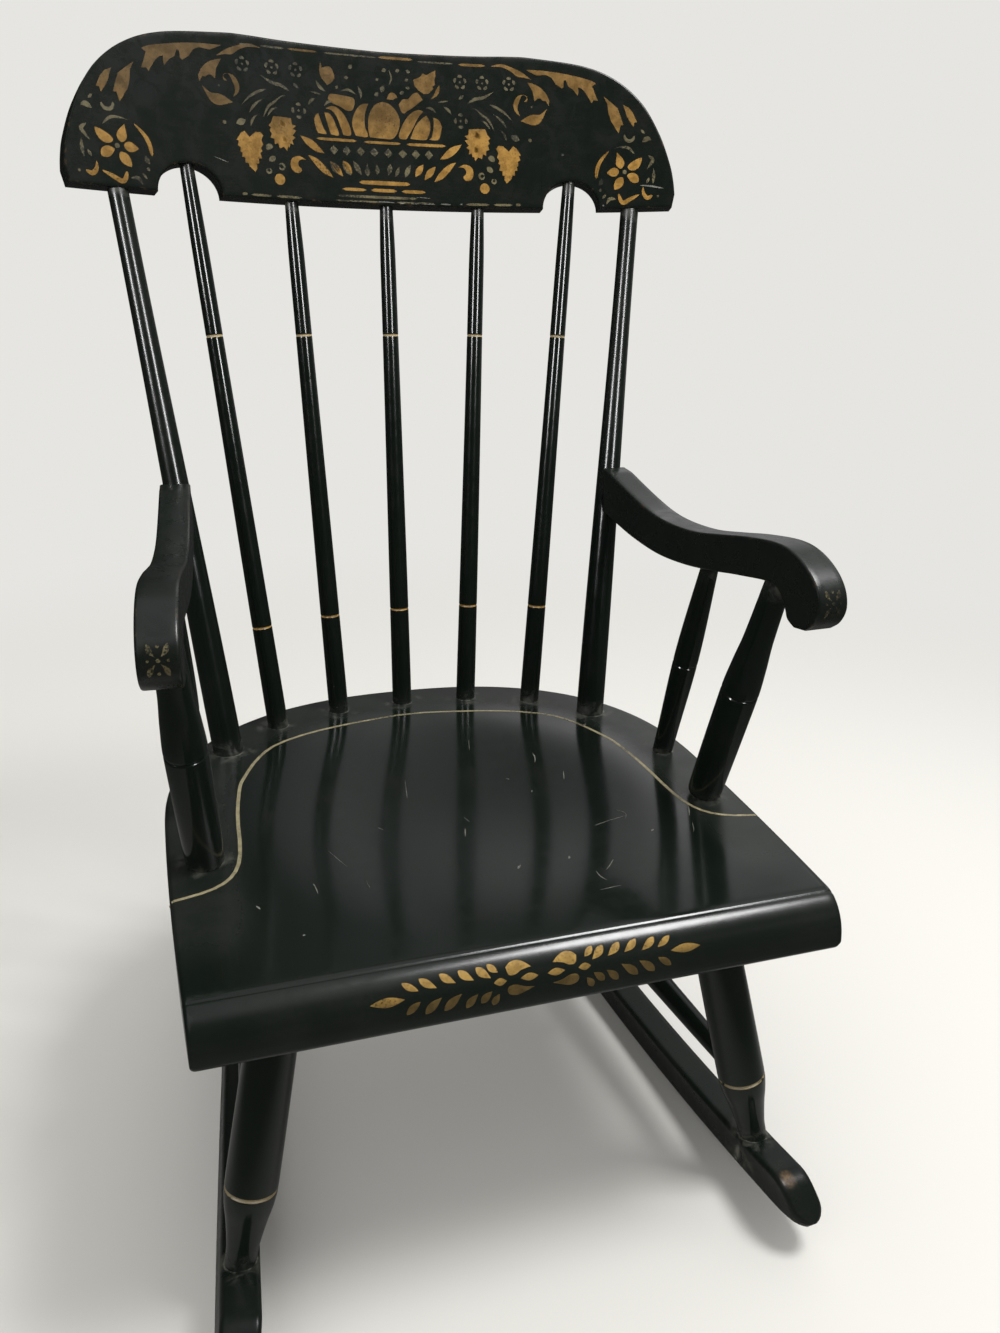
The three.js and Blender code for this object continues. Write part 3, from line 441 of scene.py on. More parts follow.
def seatEdgeGap(x, y):
    # Distance to the outline: the superellipse's level over its slope behind the widest line,
    # and the distance across before it
    power = seat["roundPower"]
    side = np.abs(x) / seat["halfWidth"]
    behind = np.clip((y - seat["widestY"]) / seat["backReach"], 0, 1)
    level = np.maximum(side**power + behind**power, 1e-9) ** (1 / power)
    slopeX = (side / level) ** (power - 1) / seat["halfWidth"]
    slopeY = (behind / level) ** (power - 1) / seat["backReach"]
    back = (1 - level) / np.maximum(np.hypot(slopeX, slopeY), 1e-4)
    front = seatHalfWidthAt(y) - np.abs(x)
    return np.clip(np.where(y > seat["widestY"], back, front), 0, None)


def rollTopAt(y):
    # A quarter of an ellipse from the flat top down to the front
    share = np.clip((seat["rollY"] - y) / seat["rollDepth"], 0, 1)
    return seat["rollDrop"] * (np.sqrt(1 - share**2) - 1)


def seatTopAt(x, y):
    # The roll, less a saddle of depth (1 - r^2)^2 and the incised line before the roll
    r = ((x / seat["saddleHalfWidth"]) ** 2 + ((y - seat["saddleY"]) / seat["saddleHalfLength"]) ** 2)
    saddle = seat["saddleDepth"] * np.clip(1 - r, 0, 1) ** 2
    crease = seat["creaseDepth"] * np.exp(-((y - seat["creaseY"]) / seat["creaseWidth"]) ** 2)
    return rollTopAt(y) - saddle - crease


def seatRowY(x):
    # The line of the feet: the outline's superellipse, drawn in
    power = seat["roundPower"]
    share = abs(x) / (seat["halfWidth"] - seat["rowSideInset"])
    return seat["widestY"] + (seat["backReach"] - seat["rowBackInset"]) * (1 - share**power) ** (1 / power)


def quarterDrop(gap, radius):
    # How far a round of the given radius has fallen at a distance from its edge
    left = radius - np.minimum(gap, radius)
    return radius - np.sqrt(np.maximum(radius**2 - left**2, 0))


def makeSeat(feet):
    # Sections across the seat, lofted from the front to the back. Round a section run the top from
    # right to left, one side wall, the underside and the other wall.
    s = seat
    turn = np.linspace(0, quarterTurn, s["backRows"])
    nose = s["rollY"] - s["rollDepth"] * np.sin(np.linspace(0, quarterTurn, s["rollRows"]))
    crease = s["creaseY"] + np.linspace(-s["creaseSpread"], s["creaseSpread"], s["creaseRows"])
    middle = np.linspace(s["rollY"], s["widestY"], s["middleRows"])
    back = s["widestY"] + s["backReach"] * np.sin(turn) ** (2 / s["roundPower"]) * s["backMostShare"]
    y = spaced(np.unique(np.round(np.concatenate([nose, crease, middle, back]), 4)), s["leastStep"])
    inner = 1 - s["rimRound"] / s["halfWidth"]
    rim = inner + (1 - inner) * np.sin(np.linspace(0, quarterTurn, s["rimColumns"]))[1:]
    u = np.concatenate([-rim[::-1], np.linspace(-inner, inner, s["across"]), rim])
    x = u[None, :] * seatHalfWidthAt(y)[:, None]
    depth = y[:, None] + 0 * x
    gap = seatEdgeGap(x, depth)
    gap[:, [0, -1]] = 0
    lowShare = np.clip((s["frontY"] + s["lowerRound"] - y) / s["lowerRound"], 0, 1)
    under = -s["thickness"] + s["lowerRound"] * (1 - np.sqrt(1 - lowShare**2))
    rimRound = np.minimum(s["rimRound"], s["rimShare"] * (rollTopAt(y) - under))[:, None]
    top = seatTopAt(x, depth) - quarterDrop(gap, rimRound)
    bottom = under[:, None] + quarterDrop(gap, rimRound)
    wall = np.linspace(0, 1, s["wallRows"] + 2)[1:-1]

    def wallPoints(column):
        height = top[:, [column]] + (bottom[:, [column]] - top[:, [column]]) * wall[None, :]
        return np.stack([x[:, [column]] + 0 * height, depth[:, [column]] + 0 * height, height], 2)

    upper = np.stack([x, depth, top], 2)
    lower = np.stack([x, depth, bottom], 2)[:, ::-1]
    loops = np.concatenate([upper, wallPoints(-1), lower, wallPoints(0)[:, ::-1]], 1)
    rows, columns = loops.shape[:2]
    numbers = np.arange(rows * columns).reshape(rows, columns)
    faces = [*gridFaces(numbers, True), numbers[0], numbers[-1][::-1]]
    points = loops.reshape(-1, 3)

    # Distances to the standing feet and to the edges, for dust and wear
    footGap = np.full(len(points), far)
    for footX, footY, radius in feet:
        away = np.hypot(points[:, 0] - footX, points[:, 1] - footY) - radius
        footGap = np.minimum(footGap, np.abs(away))
    footGap[points[:, 2] < -s["thickness"] / 2] = far
    edgeGap = seatEdgeGap(points[:, 0], points[:, 1])
    border = np.clip((s["borderWidth"] - edgeGap) / s["borderFade"], 0, 1)
    start, fade = s["borderFront"]
    border = border * np.clip((points[:, 1] - s["creaseY"] - start) / fade, 0, 1)
    start, fade = s["rollFront"]
    rolled = np.clip((s["creaseY"] + start - points[:, 1]) / fade, 0, 1) * s["rollDull"]
    dull = np.maximum(border * border * (3 - 2 * border), rolled)
    values = {"edgeGap": edgeGap, "footGap": footGap, "dullShare": dull}
    makePiece("plank_seat", points, faces, seatLacquer, "seat_lacquer", ["seat"], values)


# Boards: sawn from paired points along a lower and an upper edge, with rounded corners all round

def sawnBoard(name, lower, upper, board, place, material, slot, node, values=None):
    # The face is the grid (1 - v) * lower + v * upper, drawn in by the round's radius. Rings step round
    # the corner in a quarter circle, go through the thickness and come back in on the other face.
    rows, half, radius = board["rows"], board["thickness"] / 2, board["edgeRound"]
    share = np.linspace(0, 1, rows + 1)
    last = len(lower) - 1
    ends = [edge[i] + (other[i] - edge[i]) * share[1:-1, None]
            for edge, other, i in ((lower, upper, last), (upper, lower, 0))]
    outline = np.concatenate([lower, ends[0], upper[::-1], ends[1]])
    along = np.roll(outline, -1, 0) - np.roll(outline, 1, 0)
    along /= np.maximum(np.linalg.norm(along, axis=1, keepdims=True), 1e-9)
    inward = np.stack([-along[:, 1], along[:, 0]], 1)
    inner = outline + inward * radius
    lowerIn = inner[:last + 1]
    upperIn = inner[last + rows:2 * last + rows + 1][::-1]
    face = lowerIn[:, None] * (1 - share[None, :, None]) + upperIn[:, None] * share[None, :, None]
    face[last, 1:-1] = inner[last + 1:last + rows]
    face[0, 1:-1] = inner[2 * last + rows + 1:][::-1]
    numbers = np.arange((last + 1) * (rows + 1)).reshape(last + 1, rows + 1)
    border = np.concatenate([numbers[:, 0], numbers[last, 1:-1], numbers[::-1, rows], numbers[0, 1:-1][::-1]])
    bend = np.linspace(0, quarterTurn, board["roundSteps"] + 1)[1:]
    inset = radius * (1 - np.sin(bend))
    out = -half + radius * (1 - np.cos(bend))
    wall = np.linspace(-half + radius, half - radius, board["wallSteps"] + 1)[1:-1]
    insets = np.concatenate([inset, 0 * wall, inset[::-1]])
    outs = np.concatenate([out, wall, -out[::-1]])
    rings = outline[None] + inward[None] * insets[:, None, None]
    flat = np.concatenate([face.reshape(-1, 2), rings.reshape(-1, 2), face.reshape(-1, 2)])
    faceCount = numbers.size
    across = np.concatenate([np.full(faceCount, -half), np.repeat(outs, len(outline)),
                             np.full(faceCount, half)])
    ringNumbers = faceCount + np.arange(rings.shape[0] * rings.shape[1]).reshape(rings.shape[:2])
    behind = faceCount + ringNumbers.size
    strips = np.concatenate([border[None], ringNumbers, border[None] + behind])
    faces = np.concatenate([gridFaces(numbers), gridFaces(strips, True), gridFaces(numbers + behind)])
    spread = np.linalg.norm(upper - lower, axis=1)[:, None]
    fromEnds = np.minimum(np.arange(last + 1), np.arange(last + 1)[::-1])[:, None] * board["step"]
    faceGap = np.minimum(np.minimum(share, 1 - share)[None] * spread, fromEnds + 0 * share[None])
    wallGap = np.repeat(np.maximum(half - radius - np.abs(outs), 0), len(outline))
    points = place(flat[:, 0], flat[:, 1], across)
    given = {"edgeGap": np.concatenate([faceGap.ravel(), wallGap, faceGap.ravel()]),
             **(values(points) if values else {})}
    makePiece(name, points, faces, material, slot, [node], given, sharp=50)


# Crest rail: a bent board that leans back, with a half-round notch at each end spindle

crest = {
    "rise": 365.4,  # seat to the middle of its lower edge
    "height": 100.2,
    "halfWidth": 209.6,
    "thickness": 15.0,
    "lean": math.radians(10.8),
    "bendRadius": 800.0,
    "middleY": 90.5,
    "notchX": 134.03,
    "notchHalfWidth": 20.6,
    "notchRise": 18.8,
    "edgeRound": 1.3,
    # The upper edge from the lower corner to the middle, as shares of the half width and the height
    "edgeShares": [(1, 0.09), (0.996, 0.18), (0.984, 0.3), (0.949, 0.5), (0.89, 0.705), (0.802, 0.86),
                   (0.689, 0.95), (0.515, 0.995), (0.43, 1), (0.3, 0.992), (0, 0.982)],
    "lowerEndShare": 0.99,
    "step": 2.4,  # spacing of the columns, in millimetres
    "leastStep": 0.12,
    "roundSteps": 4, "wallSteps": 5, "rows": 40, "edgeSteps": 400, "steepSteps": 110, "notchSteps": 29,
}


def onCrest(x, up, out):
    # A place on the board: across and up its middle surface, and out through its thickness. The board is
    # an arc of the bend radius, its sides are radial, and its frame leans back about its lower edge.
    x, up, out = np.asarray(x, float), np.asarray(up, float), np.asarray(out, float)
    radius = crest["bendRadius"]
    side = x * (1 + out / np.sqrt(radius**2 - x**2))
    depth = np.sqrt(radius**2 - side**2) - radius + out
    cos, sin = math.cos(crest["lean"]), math.sin(crest["lean"])
    return np.stack([side, crest["middleY"] + depth * cos + up * sin,
                     crest["rise"] - depth * sin + up * cos], -1)


def makeCrest():
    # Columns stand at x on the upper edge and a little farther in on the lower one. They crowd where the
    # notches and the ends turn steep.
    c = crest
    edge = splineThrough(np.array(c["edgeShares"]) * [c["halfWidth"], c["height"]], c["edgeSteps"])
    edge[:, 0] = np.minimum.accumulate(edge[:, 0])
    plain = np.arange(0, c["halfWidth"], c["step"])
    steep = evenly(edge, c["steepSteps"])[:, 0]
    notch = c["notchX"] + c["notchHalfWidth"] * np.cos(np.linspace(0, np.pi, c["notchSteps"]))
    x = spaced(np.unique(np.concatenate([plain, steep, notch / c["lowerEndShare"]])), c["leastStep"])
    x = np.unique(np.append(x, [0, c["halfWidth"]]))
    upper = np.stack([x, np.interp(x, edge[::-1, 0], edge[::-1, 1])], 1)
    lowX = x * c["lowerEndShare"]
    share = np.clip((lowX - c["notchX"]) / c["notchHalfWidth"], -1, 1)
    lower = np.stack([lowX, c["notchRise"] * np.sqrt(1 - share**2)], 1)
    lower, upper = (np.concatenate([(line * [-1, 1])[:0:-1], line]) for line in (lower, upper))
    sawnBoard("bent_crest_rail", lower, upper, c, onCrest, boardLacquer, "board_lacquer", "crest_rail")


# Turned pieces: a profile of diameters carried along an axis

turning = {
    "columns": 40,
    "step": 2.5,
    "sunk": 5.0,
    "grooveHalf": 0.7,
    "finePart": (2.2, 19),  # half the length near a groove or ring that has close rows, and their count
    "footRows": 9,
    "footAt": 0.0,  # how far up from the foot it has close rows
    "brushTurn": math.radians(-14),  # the way the painted rings face
    "brushReach": 0.35,
    "dullEnds": 12.0,
    "endDull": 0.8,
    "bodyDull": 0.09,
    "handledShare": (0.3, 0.3),  # where handling starts and over how much of the length it comes in
    "dustReach": 20.0,
    "dustGap": 1.2,
}


def monotone(keys, places):
    # A smooth curve through the keys that never swings past them: cubic Hermite pieces whose slopes
    # are the harmonic mean of the two neighbours', or zero where those differ in sign
    keys = np.asarray(keys, float)
    step = np.diff(keys[:, 0])
    slope = np.diff(keys[:, 1]) / step
    product = slope[:-1] * slope[1:]
    total = np.where(np.abs(slope[:-1] + slope[1:]) < 1e-9, 1, slope[:-1] + slope[1:])
    inner = np.where(product > 0, 2 * product / total, 0)
    tangent = np.concatenate([[slope[0]], inner, [slope[-1]]])
    first = np.clip(np.searchsorted(keys[:, 0], places, "right") - 1, 0, len(step) - 1)
    t = (places - keys[first, 0]) / step[first]
    start, stop = keys[first, 1], keys[first + 1, 1]
    return (start * (1 + 2 * t) * (1 - t) ** 2 + stop * t**2 * (3 - 2 * t)
            + step[first] * (tangent[first] * t * (1 - t) ** 2 - tangent[first + 1] * t**2 * (1 - t)))


def turnedPiece(name, node, foot, head, keys, marks=(), depth=0.0, ringHalf=None, bow=0.0, handled=0.0,
                **changed):
    # The point at distance s and angle a is the axis point, moved bow * 4 s(1 - s) to the front, plus the
    # radius times (cos a, sin a). Ends go into their sockets and close on the axis. Marks are distances
    # of grooves of one depth, and with half a width they are painted rings too.
    t = {**turning, **changed}
    length = np.linalg.norm(head - foot)
    axis = Vector(head - foot).normalized()
    turn = np.array(Vector((0, 0, 1)).rotation_difference(axis).to_matrix())
    places = [np.arange(-t["sunk"], length + t["sunk"], t["step"]), [length + t["sunk"]]]
    reach, count = t["finePart"]
    places += [mark + np.linspace(-reach, reach, count) for mark in marks]
    if t["footAt"]:
        places.append(np.linspace(0, t["footAt"], t["footRows"]))
    along = np.unique(np.round(np.concatenate(places), 3))
    along = along[(along >= -t["sunk"]) & (along <= length + t["sunk"])]
    radius = monotone(keys, np.clip(along, keys[0][0], keys[-1][0])) / 2
    for mark in marks:
        radius = radius - depth * np.exp(-((along - mark) / t["grooveHalf"]) ** 2)
    angle = np.linspace(0, 2 * np.pi, t["columns"], endpoint=False)
    share = along / length
    x = radius[:, None] * np.cos(angle)[None]
    y = radius[:, None] * np.sin(angle)[None] - (4 * bow * share * (1 - share))[:, None]
    body = np.stack([x, y, along[:, None] + 0 * x], 2).reshape(-1, 3)
    numbers = np.arange(x.size).reshape(x.shape)
    poles = np.array([[0, 0, along[0]], [0, 0, along[-1]]])
    points = np.concatenate([body, poles]) @ turn.T + foot
    first, last = numbers[0], numbers[-1]
    faces = [*gridFaces(numbers, True)]
    faces += [(x.size, b, a) for a, b in zip(first, np.roll(first, -1))]
    faces += [(x.size + 1, a, b) for a, b in zip(last, np.roll(last, -1))]
    # A ring is brushed on from the front, so its line is full there and thins to nothing behind
    facing = np.clip(-np.sin(angle - t["brushTurn"]) + t["brushReach"], 0, 1) ** 0.5
    gap = np.full(x.shape, far)
    for mark in marks if ringHalf else ():
        gap = np.minimum(gap, np.abs(along - mark)[:, None] - ringHalf * facing[None])
    ends = np.minimum(np.abs(along), np.abs(length - along))
    dull = np.clip(1 - ends / t["dullEnds"], 0, 1) * t["endDull"] + t["bodyDull"]
    start, fade = t["handledShare"]
    dull = np.maximum(dull, handled * np.clip((share - start) / fade, 0, 1))
    dust = np.where(ends < t["dustReach"], ends + t["dustGap"], far)
    values = {"ringGap": np.append(gap, [far, far]),
              "footGap": np.append(np.repeat(dust, len(angle)), [far, far]),
              "dullShare": np.append(np.repeat(dull, len(angle)), [0, 0])}
    makePiece(name, points, faces, turningLacquer, "turning_lacquer", [node], values, sharp=46)


def lengthAndScale(foot, head):
    # A piece's length, and its length along the axis for each millimetre of rise
    length = np.linalg.norm(head - foot)
    return length, length / (head[2] - foot[2])


pastEnd = turning["sunk"]
backPosts = {
    "footX": 140.0,
    "headX": 178.0,
    "footDiameter": 21.0,
    "headDiameter": 13.0,
    "footOnSeat": 10.8,  # radius of the line of dust round the foot
    "handled": 0.4,  # how dull hands have made the upper part
    "step": 4,
}


def postLine(sign):
    # From the line of feet on the seat to the crest rail's lower edge
    foot = np.array([sign * backPosts["footX"], seatRowY(backPosts["footX"]), 0])
    return foot, onCrest(sign * backPosts["headX"], 0, 0)


def makeBackPosts():
    # Even tapers, dulled by hands in their upper part
    b = backPosts
    for side, sign in sides.items():
        foot, head = postLine(sign)
        length = np.linalg.norm(head - foot)
        keys = [(-pastEnd, b["footDiameter"]), (0, b["footDiameter"]), (length, b["headDiameter"]),
                (length + pastEnd, b["headDiameter"])]
        turnedPiece("turned_post_" + side, "back_post_" + side, foot, head, keys, handled=b["handled"],
                    step=b["step"])


backSpindles = {
    "footShares": (-0.72, -0.37, 0, 0.37, 0.72),  # of the back posts' foot x
    "headShares": (-0.753, -0.373, 0, 0.373, 0.753),  # of their head x
    "footDiameter": 15.0,
    "lowerDiameter": 14.3,
    "lowerRise": 77.0,
    "upperDiameter": 11.4,
    "upperRise": 280.0,
    "shoulderDiameter": 10.9,
    "shoulderRise": 330.0,  # above it a spindle thins quickly
    "headDiameter": 8.8,
    "bow": 1.0,
    "grooveDepth": 0.3,
    "ringHalf": 0.75,
    "footOnSeat": 7.4,
    "step": 5,
    "columns": 32,
}


def spindleLine(index):
    # From the line of feet to the crest rail's lower edge, or to the top of its notch
    footX = backSpindles["footShares"][index] * backPosts["footX"]
    headX = backSpindles["headShares"][index] * backPosts["headX"]
    up = crest["notchRise"] if abs(abs(headX) - crest["notchX"]) < crest["notchHalfWidth"] else 0
    return np.array([footX, seatRowY(footX), 0]), onCrest(headX, up, 0)


def makeBackSpindles():
    # Slow tapers with a grooved and painted ring low down and high up, quicker above the shoulder
    b = backSpindles
    for index in range(len(b["footShares"])):
        foot, head = spindleLine(index)
        length, scale = lengthAndScale(foot, head)
        lower, upper = b["lowerRise"] * scale, b["upperRise"] * scale
        keys = [(-pastEnd, b["footDiameter"]), (0, b["footDiameter"]), (lower, b["lowerDiameter"]),
                (upper, b["upperDiameter"]), (b["shoulderRise"] * scale, b["shoulderDiameter"]),
                (length + pastEnd, b["headDiameter"])]
        turnedPiece(f"turned_spindle_{index + 1}", f"back_spindle_{index + 1}", foot, head, keys,
                    (lower, upper), b["grooveDepth"], b["ringHalf"], b["bow"], step=b["step"],
                    columns=b["columns"])


# Arms: sawn S-curves that start at the back posts and end in a scroll

arms = {
    "thickness": 19.8,
    "length": 278.0,  # from the back post's axis line
    "backRise": 188.0,  # seat to the top of the arm's back end
    "span": 44.5,  # underside of the scroll to the top of the back end
    "splay": 16.5,
    "edgeRound": 1.7,
    "wrap": 7.8,
    "step": 2.6,
    # Shares of the length and the span, from the back end forwards and round the scroll
    "topShares": [(0.07, 0.975), (0.207, 0.76), (0.315, 0.63), (0.41, 0.6), (0.52, 0.645), (0.623, 0.76),
                  (0.73, 0.89), (0.83, 0.97), (0.895, 0.935), (0.95, 0.79), (0.985, 0.59), (0.997, 0.36),
                  (0.985, 0.16), (0.96, 0.03)],
    "underShares": [(0.02, 0.32), (0.13, 0.18), (0.24, 0.08), (0.36, 0.035), (0.48, 0.08), (0.598, 0.184),
                    (0.716, 0.32), (0.84, 0.42), (0.884, 0.22), (0.9, 0.07), (0.925, 0)],
    "turnKeys": (8.6, 7.0),  # the keys of the top and the under edge that face each other at the hook
    "hookAt": 90,  # samples of the under edge before it turns into the hook
    "postShare": 0.8147,
    "spindleShare": 0.548,
    # Steps of both splines, of the run to the hook and of the scroll, and those of a sawn board
    "splineSteps": (1300, 1000), "runSteps": 96, "scrollSteps": 34, "roundSteps": 4, "wallSteps": 6,
    "rows": 14,
}


def armLine(sign):
    # The origin is on the back post's axis, level with the scroll's underside, and the line splays out
    foot, head = postLine(sign)
    origin = foot + (head - foot) * arms["backRise"] / head[2]
    origin[2] = arms["backRise"] - arms["span"]
    forward = np.array([sign * arms["splay"], -arms["length"], 0])
    return origin, forward / np.linalg.norm(forward)


def armEdges(sign):
    # Both edges in step: the long run from the post to the hook under the scroll, then round the scroll
    foot, head = postLine(sign)
    lean = (head[1] - foot[1]) / head[2]
    edges = []
    for shares, turnKey, steps in zip((arms["underShares"], arms["topShares"]), arms["turnKeys"][::-1],
                                      arms["splineSteps"][::-1]):
        edge = splineThrough(np.array(shares) * [arms["length"], arms["span"]], steps + 1)
        turn = int(turnKey / (len(shares) - 1) * steps)
        height = arms["span"] if shares is arms["topShares"] else edge[0, 1]
        run = np.vstack([[arms["wrap"] + lean * (arms["span"] - height), height], edge[:turn]])
        edges.append(np.vstack([evenly(run, arms["runSteps"])[:-1],
                                evenly(edge[turn:], arms["scrollSteps"])]))
    return edges


def onArm(sign):
    # Forwards and up from the arm's origin, and across it
    origin, forward = armLine(sign)
    side = np.cross(forward, upward)
    return lambda along, up, across: (origin + along[..., None] * forward + across[..., None] * side
                                      + up[..., None] * upward)


def makeArms():
    # The grid between both edges, set up along the arm's line
    for side, sign in sides.items():
        sawnBoard("scrolled_arm_" + side, *armEdges(sign), arms, onArm(sign), armLacquer, "board_lacquer",
                  "arm_" + side)


def armUnderAt(sign, share):
    # The underside's height is read before the hook, where the edge still runs forwards
    lower = armEdges(sign)[0][:arms["hookAt"]]
    origin, forward = armLine(sign)
    along = share * arms["length"]
    return origin + forward * along + upward * np.interp(along, lower[:, 0], lower[:, 1])


armPosts = {
    "inset": 22.0,
    "footY": -146.0,
    "socketDiameter": 15.6,
    "endDiameter": 18.6,
    "footDiameter": 22.6,
    "footRound": 4.0,
    "footSwell": (0.4, -1.2),  # at this share of the round, so much on the foot's diameter
    "ringDiameter": 24.0,
    "ringRise": 83.0,
    "neckDiameter": 18.4,
    "neckRise": 122.0,
    "neckSwell": 0.6,
    "headDiameter": 15.6,
    "grooveDepth": 0.7,
    "footOnSeat": 9.9,
}
armSpindles = {
    "inset": 20.0,
    "footY": -78.0,
    "footDiameter": 14.4,
    "ringDiameter": 17.0,
    "ringRise": 76.0,
    "headDiameter": 11.3,
    "grooveDepth": 0.7,
    "footOnSeat": 7.6,
}


def armFoot(sign, what):
    # On the seat, in from its side edge
    side = float(seatHalfWidthAt(np.array(what["footY"]))) - what["inset"]
    return np.array([sign * side, what["footY"], 0])


def makeArmSupports():
    # A post under the arm's front and a thinner spindle behind it, each fullest at its ring
    for side, sign in sides.items():
        a = armPosts
        foot, head = armFoot(sign, a), armUnderAt(sign, arms["postShare"])
        length, scale = lengthAndScale(foot, head)
        ring, neck = a["ringRise"] * scale, a["neckRise"] * scale
        share, swell = a["footSwell"]
        keys = [(-pastEnd, a["socketDiameter"]), (0, a["endDiameter"]),
                (a["footRound"] * share, a["footDiameter"] + swell), (a["footRound"], a["footDiameter"]),
                (ring, a["ringDiameter"]),
                ((ring + neck) / 2, (a["ringDiameter"] + a["neckDiameter"]) / 2 + a["neckSwell"]),
                (neck, a["neckDiameter"]), (length + pastEnd, a["headDiameter"])]
        turnedPiece("turned_arm_post_" + side, "arm_post_" + side, foot, head, keys, (ring,),
                    a["grooveDepth"], footAt=a["footRound"])
        a = armSpindles
        foot, head = armFoot(sign, a), armUnderAt(sign, arms["spindleShare"])
        length, scale = lengthAndScale(foot, head)
        ring = a["ringRise"] * scale
        keys = [(-pastEnd, a["footDiameter"]), (0, a["footDiameter"]), (ring, a["ringDiameter"]),
                (length + pastEnd, a["headDiameter"])]
        turnedPiece("turned_arm_spindle_" + side, "arm_spindle_" + side, foot, head, keys, (ring,),
                    a["grooveDepth"])


# Rockers: bent boards with a sole of one radius, rounded at both ends

rockers = {
    "thickness": 22.5,
    "height": 28.5,
    "cant": math.radians(10.5),  # the soles stand farther apart than the tops
    "radius": 1250.0,
    "restY": -77.0,
    "frontY": -313.8,
    "rearY": 245.3,
    "edgeRound": 3.5,
    "tipLength": 18.8,  # shoulder to the tip
    "tipShoulder": 9.0,
    "tipShoulderShare": 0.4,  # of the slanting end, rounded under the shoulder
    "tipNose": 4.0,
    "tipCorner": 3.0,
    "tipRound": 10.0,  # length over which a tip is rounded in plan
    "tipMost": 0.985,  # of a tip's round that is drawn, so that its end keeps some width
    "tongueLength": 26.0,  # towards a tip the lower corners are rounded too
    "tongueHeight": 10.0,
    "tongueMost": 0.95,
    "step": 3.4,
    "dull": 0.5,
    "rubbed": {"left": (20.0, 3.4)},  # how far behind a tip the lacquer is rubbed off, and how far inwards
    "rubbedStretch": (1, 0.8, 0.8),
    "roundSteps": 6, "wallSteps": 9, "rows": 10, "slantSteps": 12, "bendSteps": 16, "middleSteps": 130,
}
legs = {
    "frontHead": (129.5, -221.0),
    "frontFoot": (164.4, -251.0),
    "rearHead": (110.0, 5.0),
    "rearFoot": (136.0, 70.0),
    "headDiameter": 28.0,
    "ringDiameter": 30.2,
    "ringRise": 45.5,
    "footDiameter": 17.8,
    # Below the ring a bottle neck: full for a little, then hollow down to a narrow foot. Each is a share
    # of the ring's rise and what it adds to the foot's diameter.
    "neck": [(0.16, 0.3), (0.36, 2.6), (0.58, 6.2)],
    "shoulder": (0.8, -1.9),  # the same with the ring's diameter
    "calf": (30.0, -0.2),  # so far above the ring
    "grooveDepth": 0.7,
    "ringHalf": 1.1,
}


def soleAt(along):
    # Height of the arc over the floor: R - sqrt(R^2 - s^2)
    return rockers["radius"] - np.sqrt(rockers["radius"] ** 2 - along**2)


def rockerLine(sign):
    # Seen from above, a line through both feet of that side, from where the rocker rests on the floor
    front, rear = (np.array([sign * legs[key][0], legs[key][1], 0]) for key in ("frontFoot", "rearFoot"))
    forward = (front - rear) / np.linalg.norm(front - rear)
    origin = rear + forward * (rockers["restY"] - rear[1]) / forward[1]
    origin[2] = floorZ
    return origin, forward


def rockerTopAt(sign, y):
    # Height of the upper edge at a depth y: the floor, the arc and the rocker's own height
    origin, forward = rockerLine(sign)
    return floorZ + soleAt((y - origin[1]) / forward[1]) + rockers["height"]


def rockerEnds(sign):
    # How far forward of its rest the rear and the front end lie
    origin, forward = rockerLine(sign)
    return [(rockers[key] - origin[1]) / forward[1] for key in ("rearY", "frontY")]


def onRocker(sign):
    # Round in plan at both tips, where the width falls as sqrt(1 - t^2), and leaning: the higher a point,
    # the farther inwards it stands
    r = rockers
    origin, forward = rockerLine(sign)
    side = np.cross(forward, upward)
    rear, front = rockerEnds(sign)
    lean = sign * math.tan(r["cant"])
    level = rockerTopAt(sign, legs["frontFoot"][1]) - floorZ

    def place(along, up, across):
        past = np.maximum(along - front, rear - along)
        narrow = across * np.sqrt(1 - np.clip(past / r["tipRound"] + 1, 0, r["tipMost"]) ** 2)
        low = np.clip(1 - (up - soleAt(along)) / r["tongueHeight"], 0, r["tongueMost"])
        ends = np.clip(past / r["tongueLength"] + 1, 0, 1)
        narrow = narrow * np.sqrt(1 - (low * ends) ** 2)
        shift = (narrow + lean * (up - level))[..., None] * side
        return origin + along[..., None] * forward + shift + up[..., None] * upward
    return place


def rockerTip(end, way):
    # Up the slanting end from the nose, then over the shoulder: (1 - t)^2 a + 2t(1 - t) b + t^2 c
    r = rockers
    nose = np.array([end, soleAt(end) + r["tipNose"]])
    shoulder, over = (np.array([end - way * inset, soleAt(end - way * inset) + r["height"]])
                      for inset in (r["tipLength"], r["tipLength"] + r["tipShoulder"]))
    under = shoulder + (nose - shoulder) * r["tipShoulderShare"]
    t = np.linspace(0, 1, r["bendSteps"])[:, None]
    bend = (1 - t) ** 2 * under + 2 * t * (1 - t) * shoulder + t**2 * over
    return np.vstack([nose + (under - nose) * np.linspace(0, 1, r["slantSteps"])[:-1, None], bend])


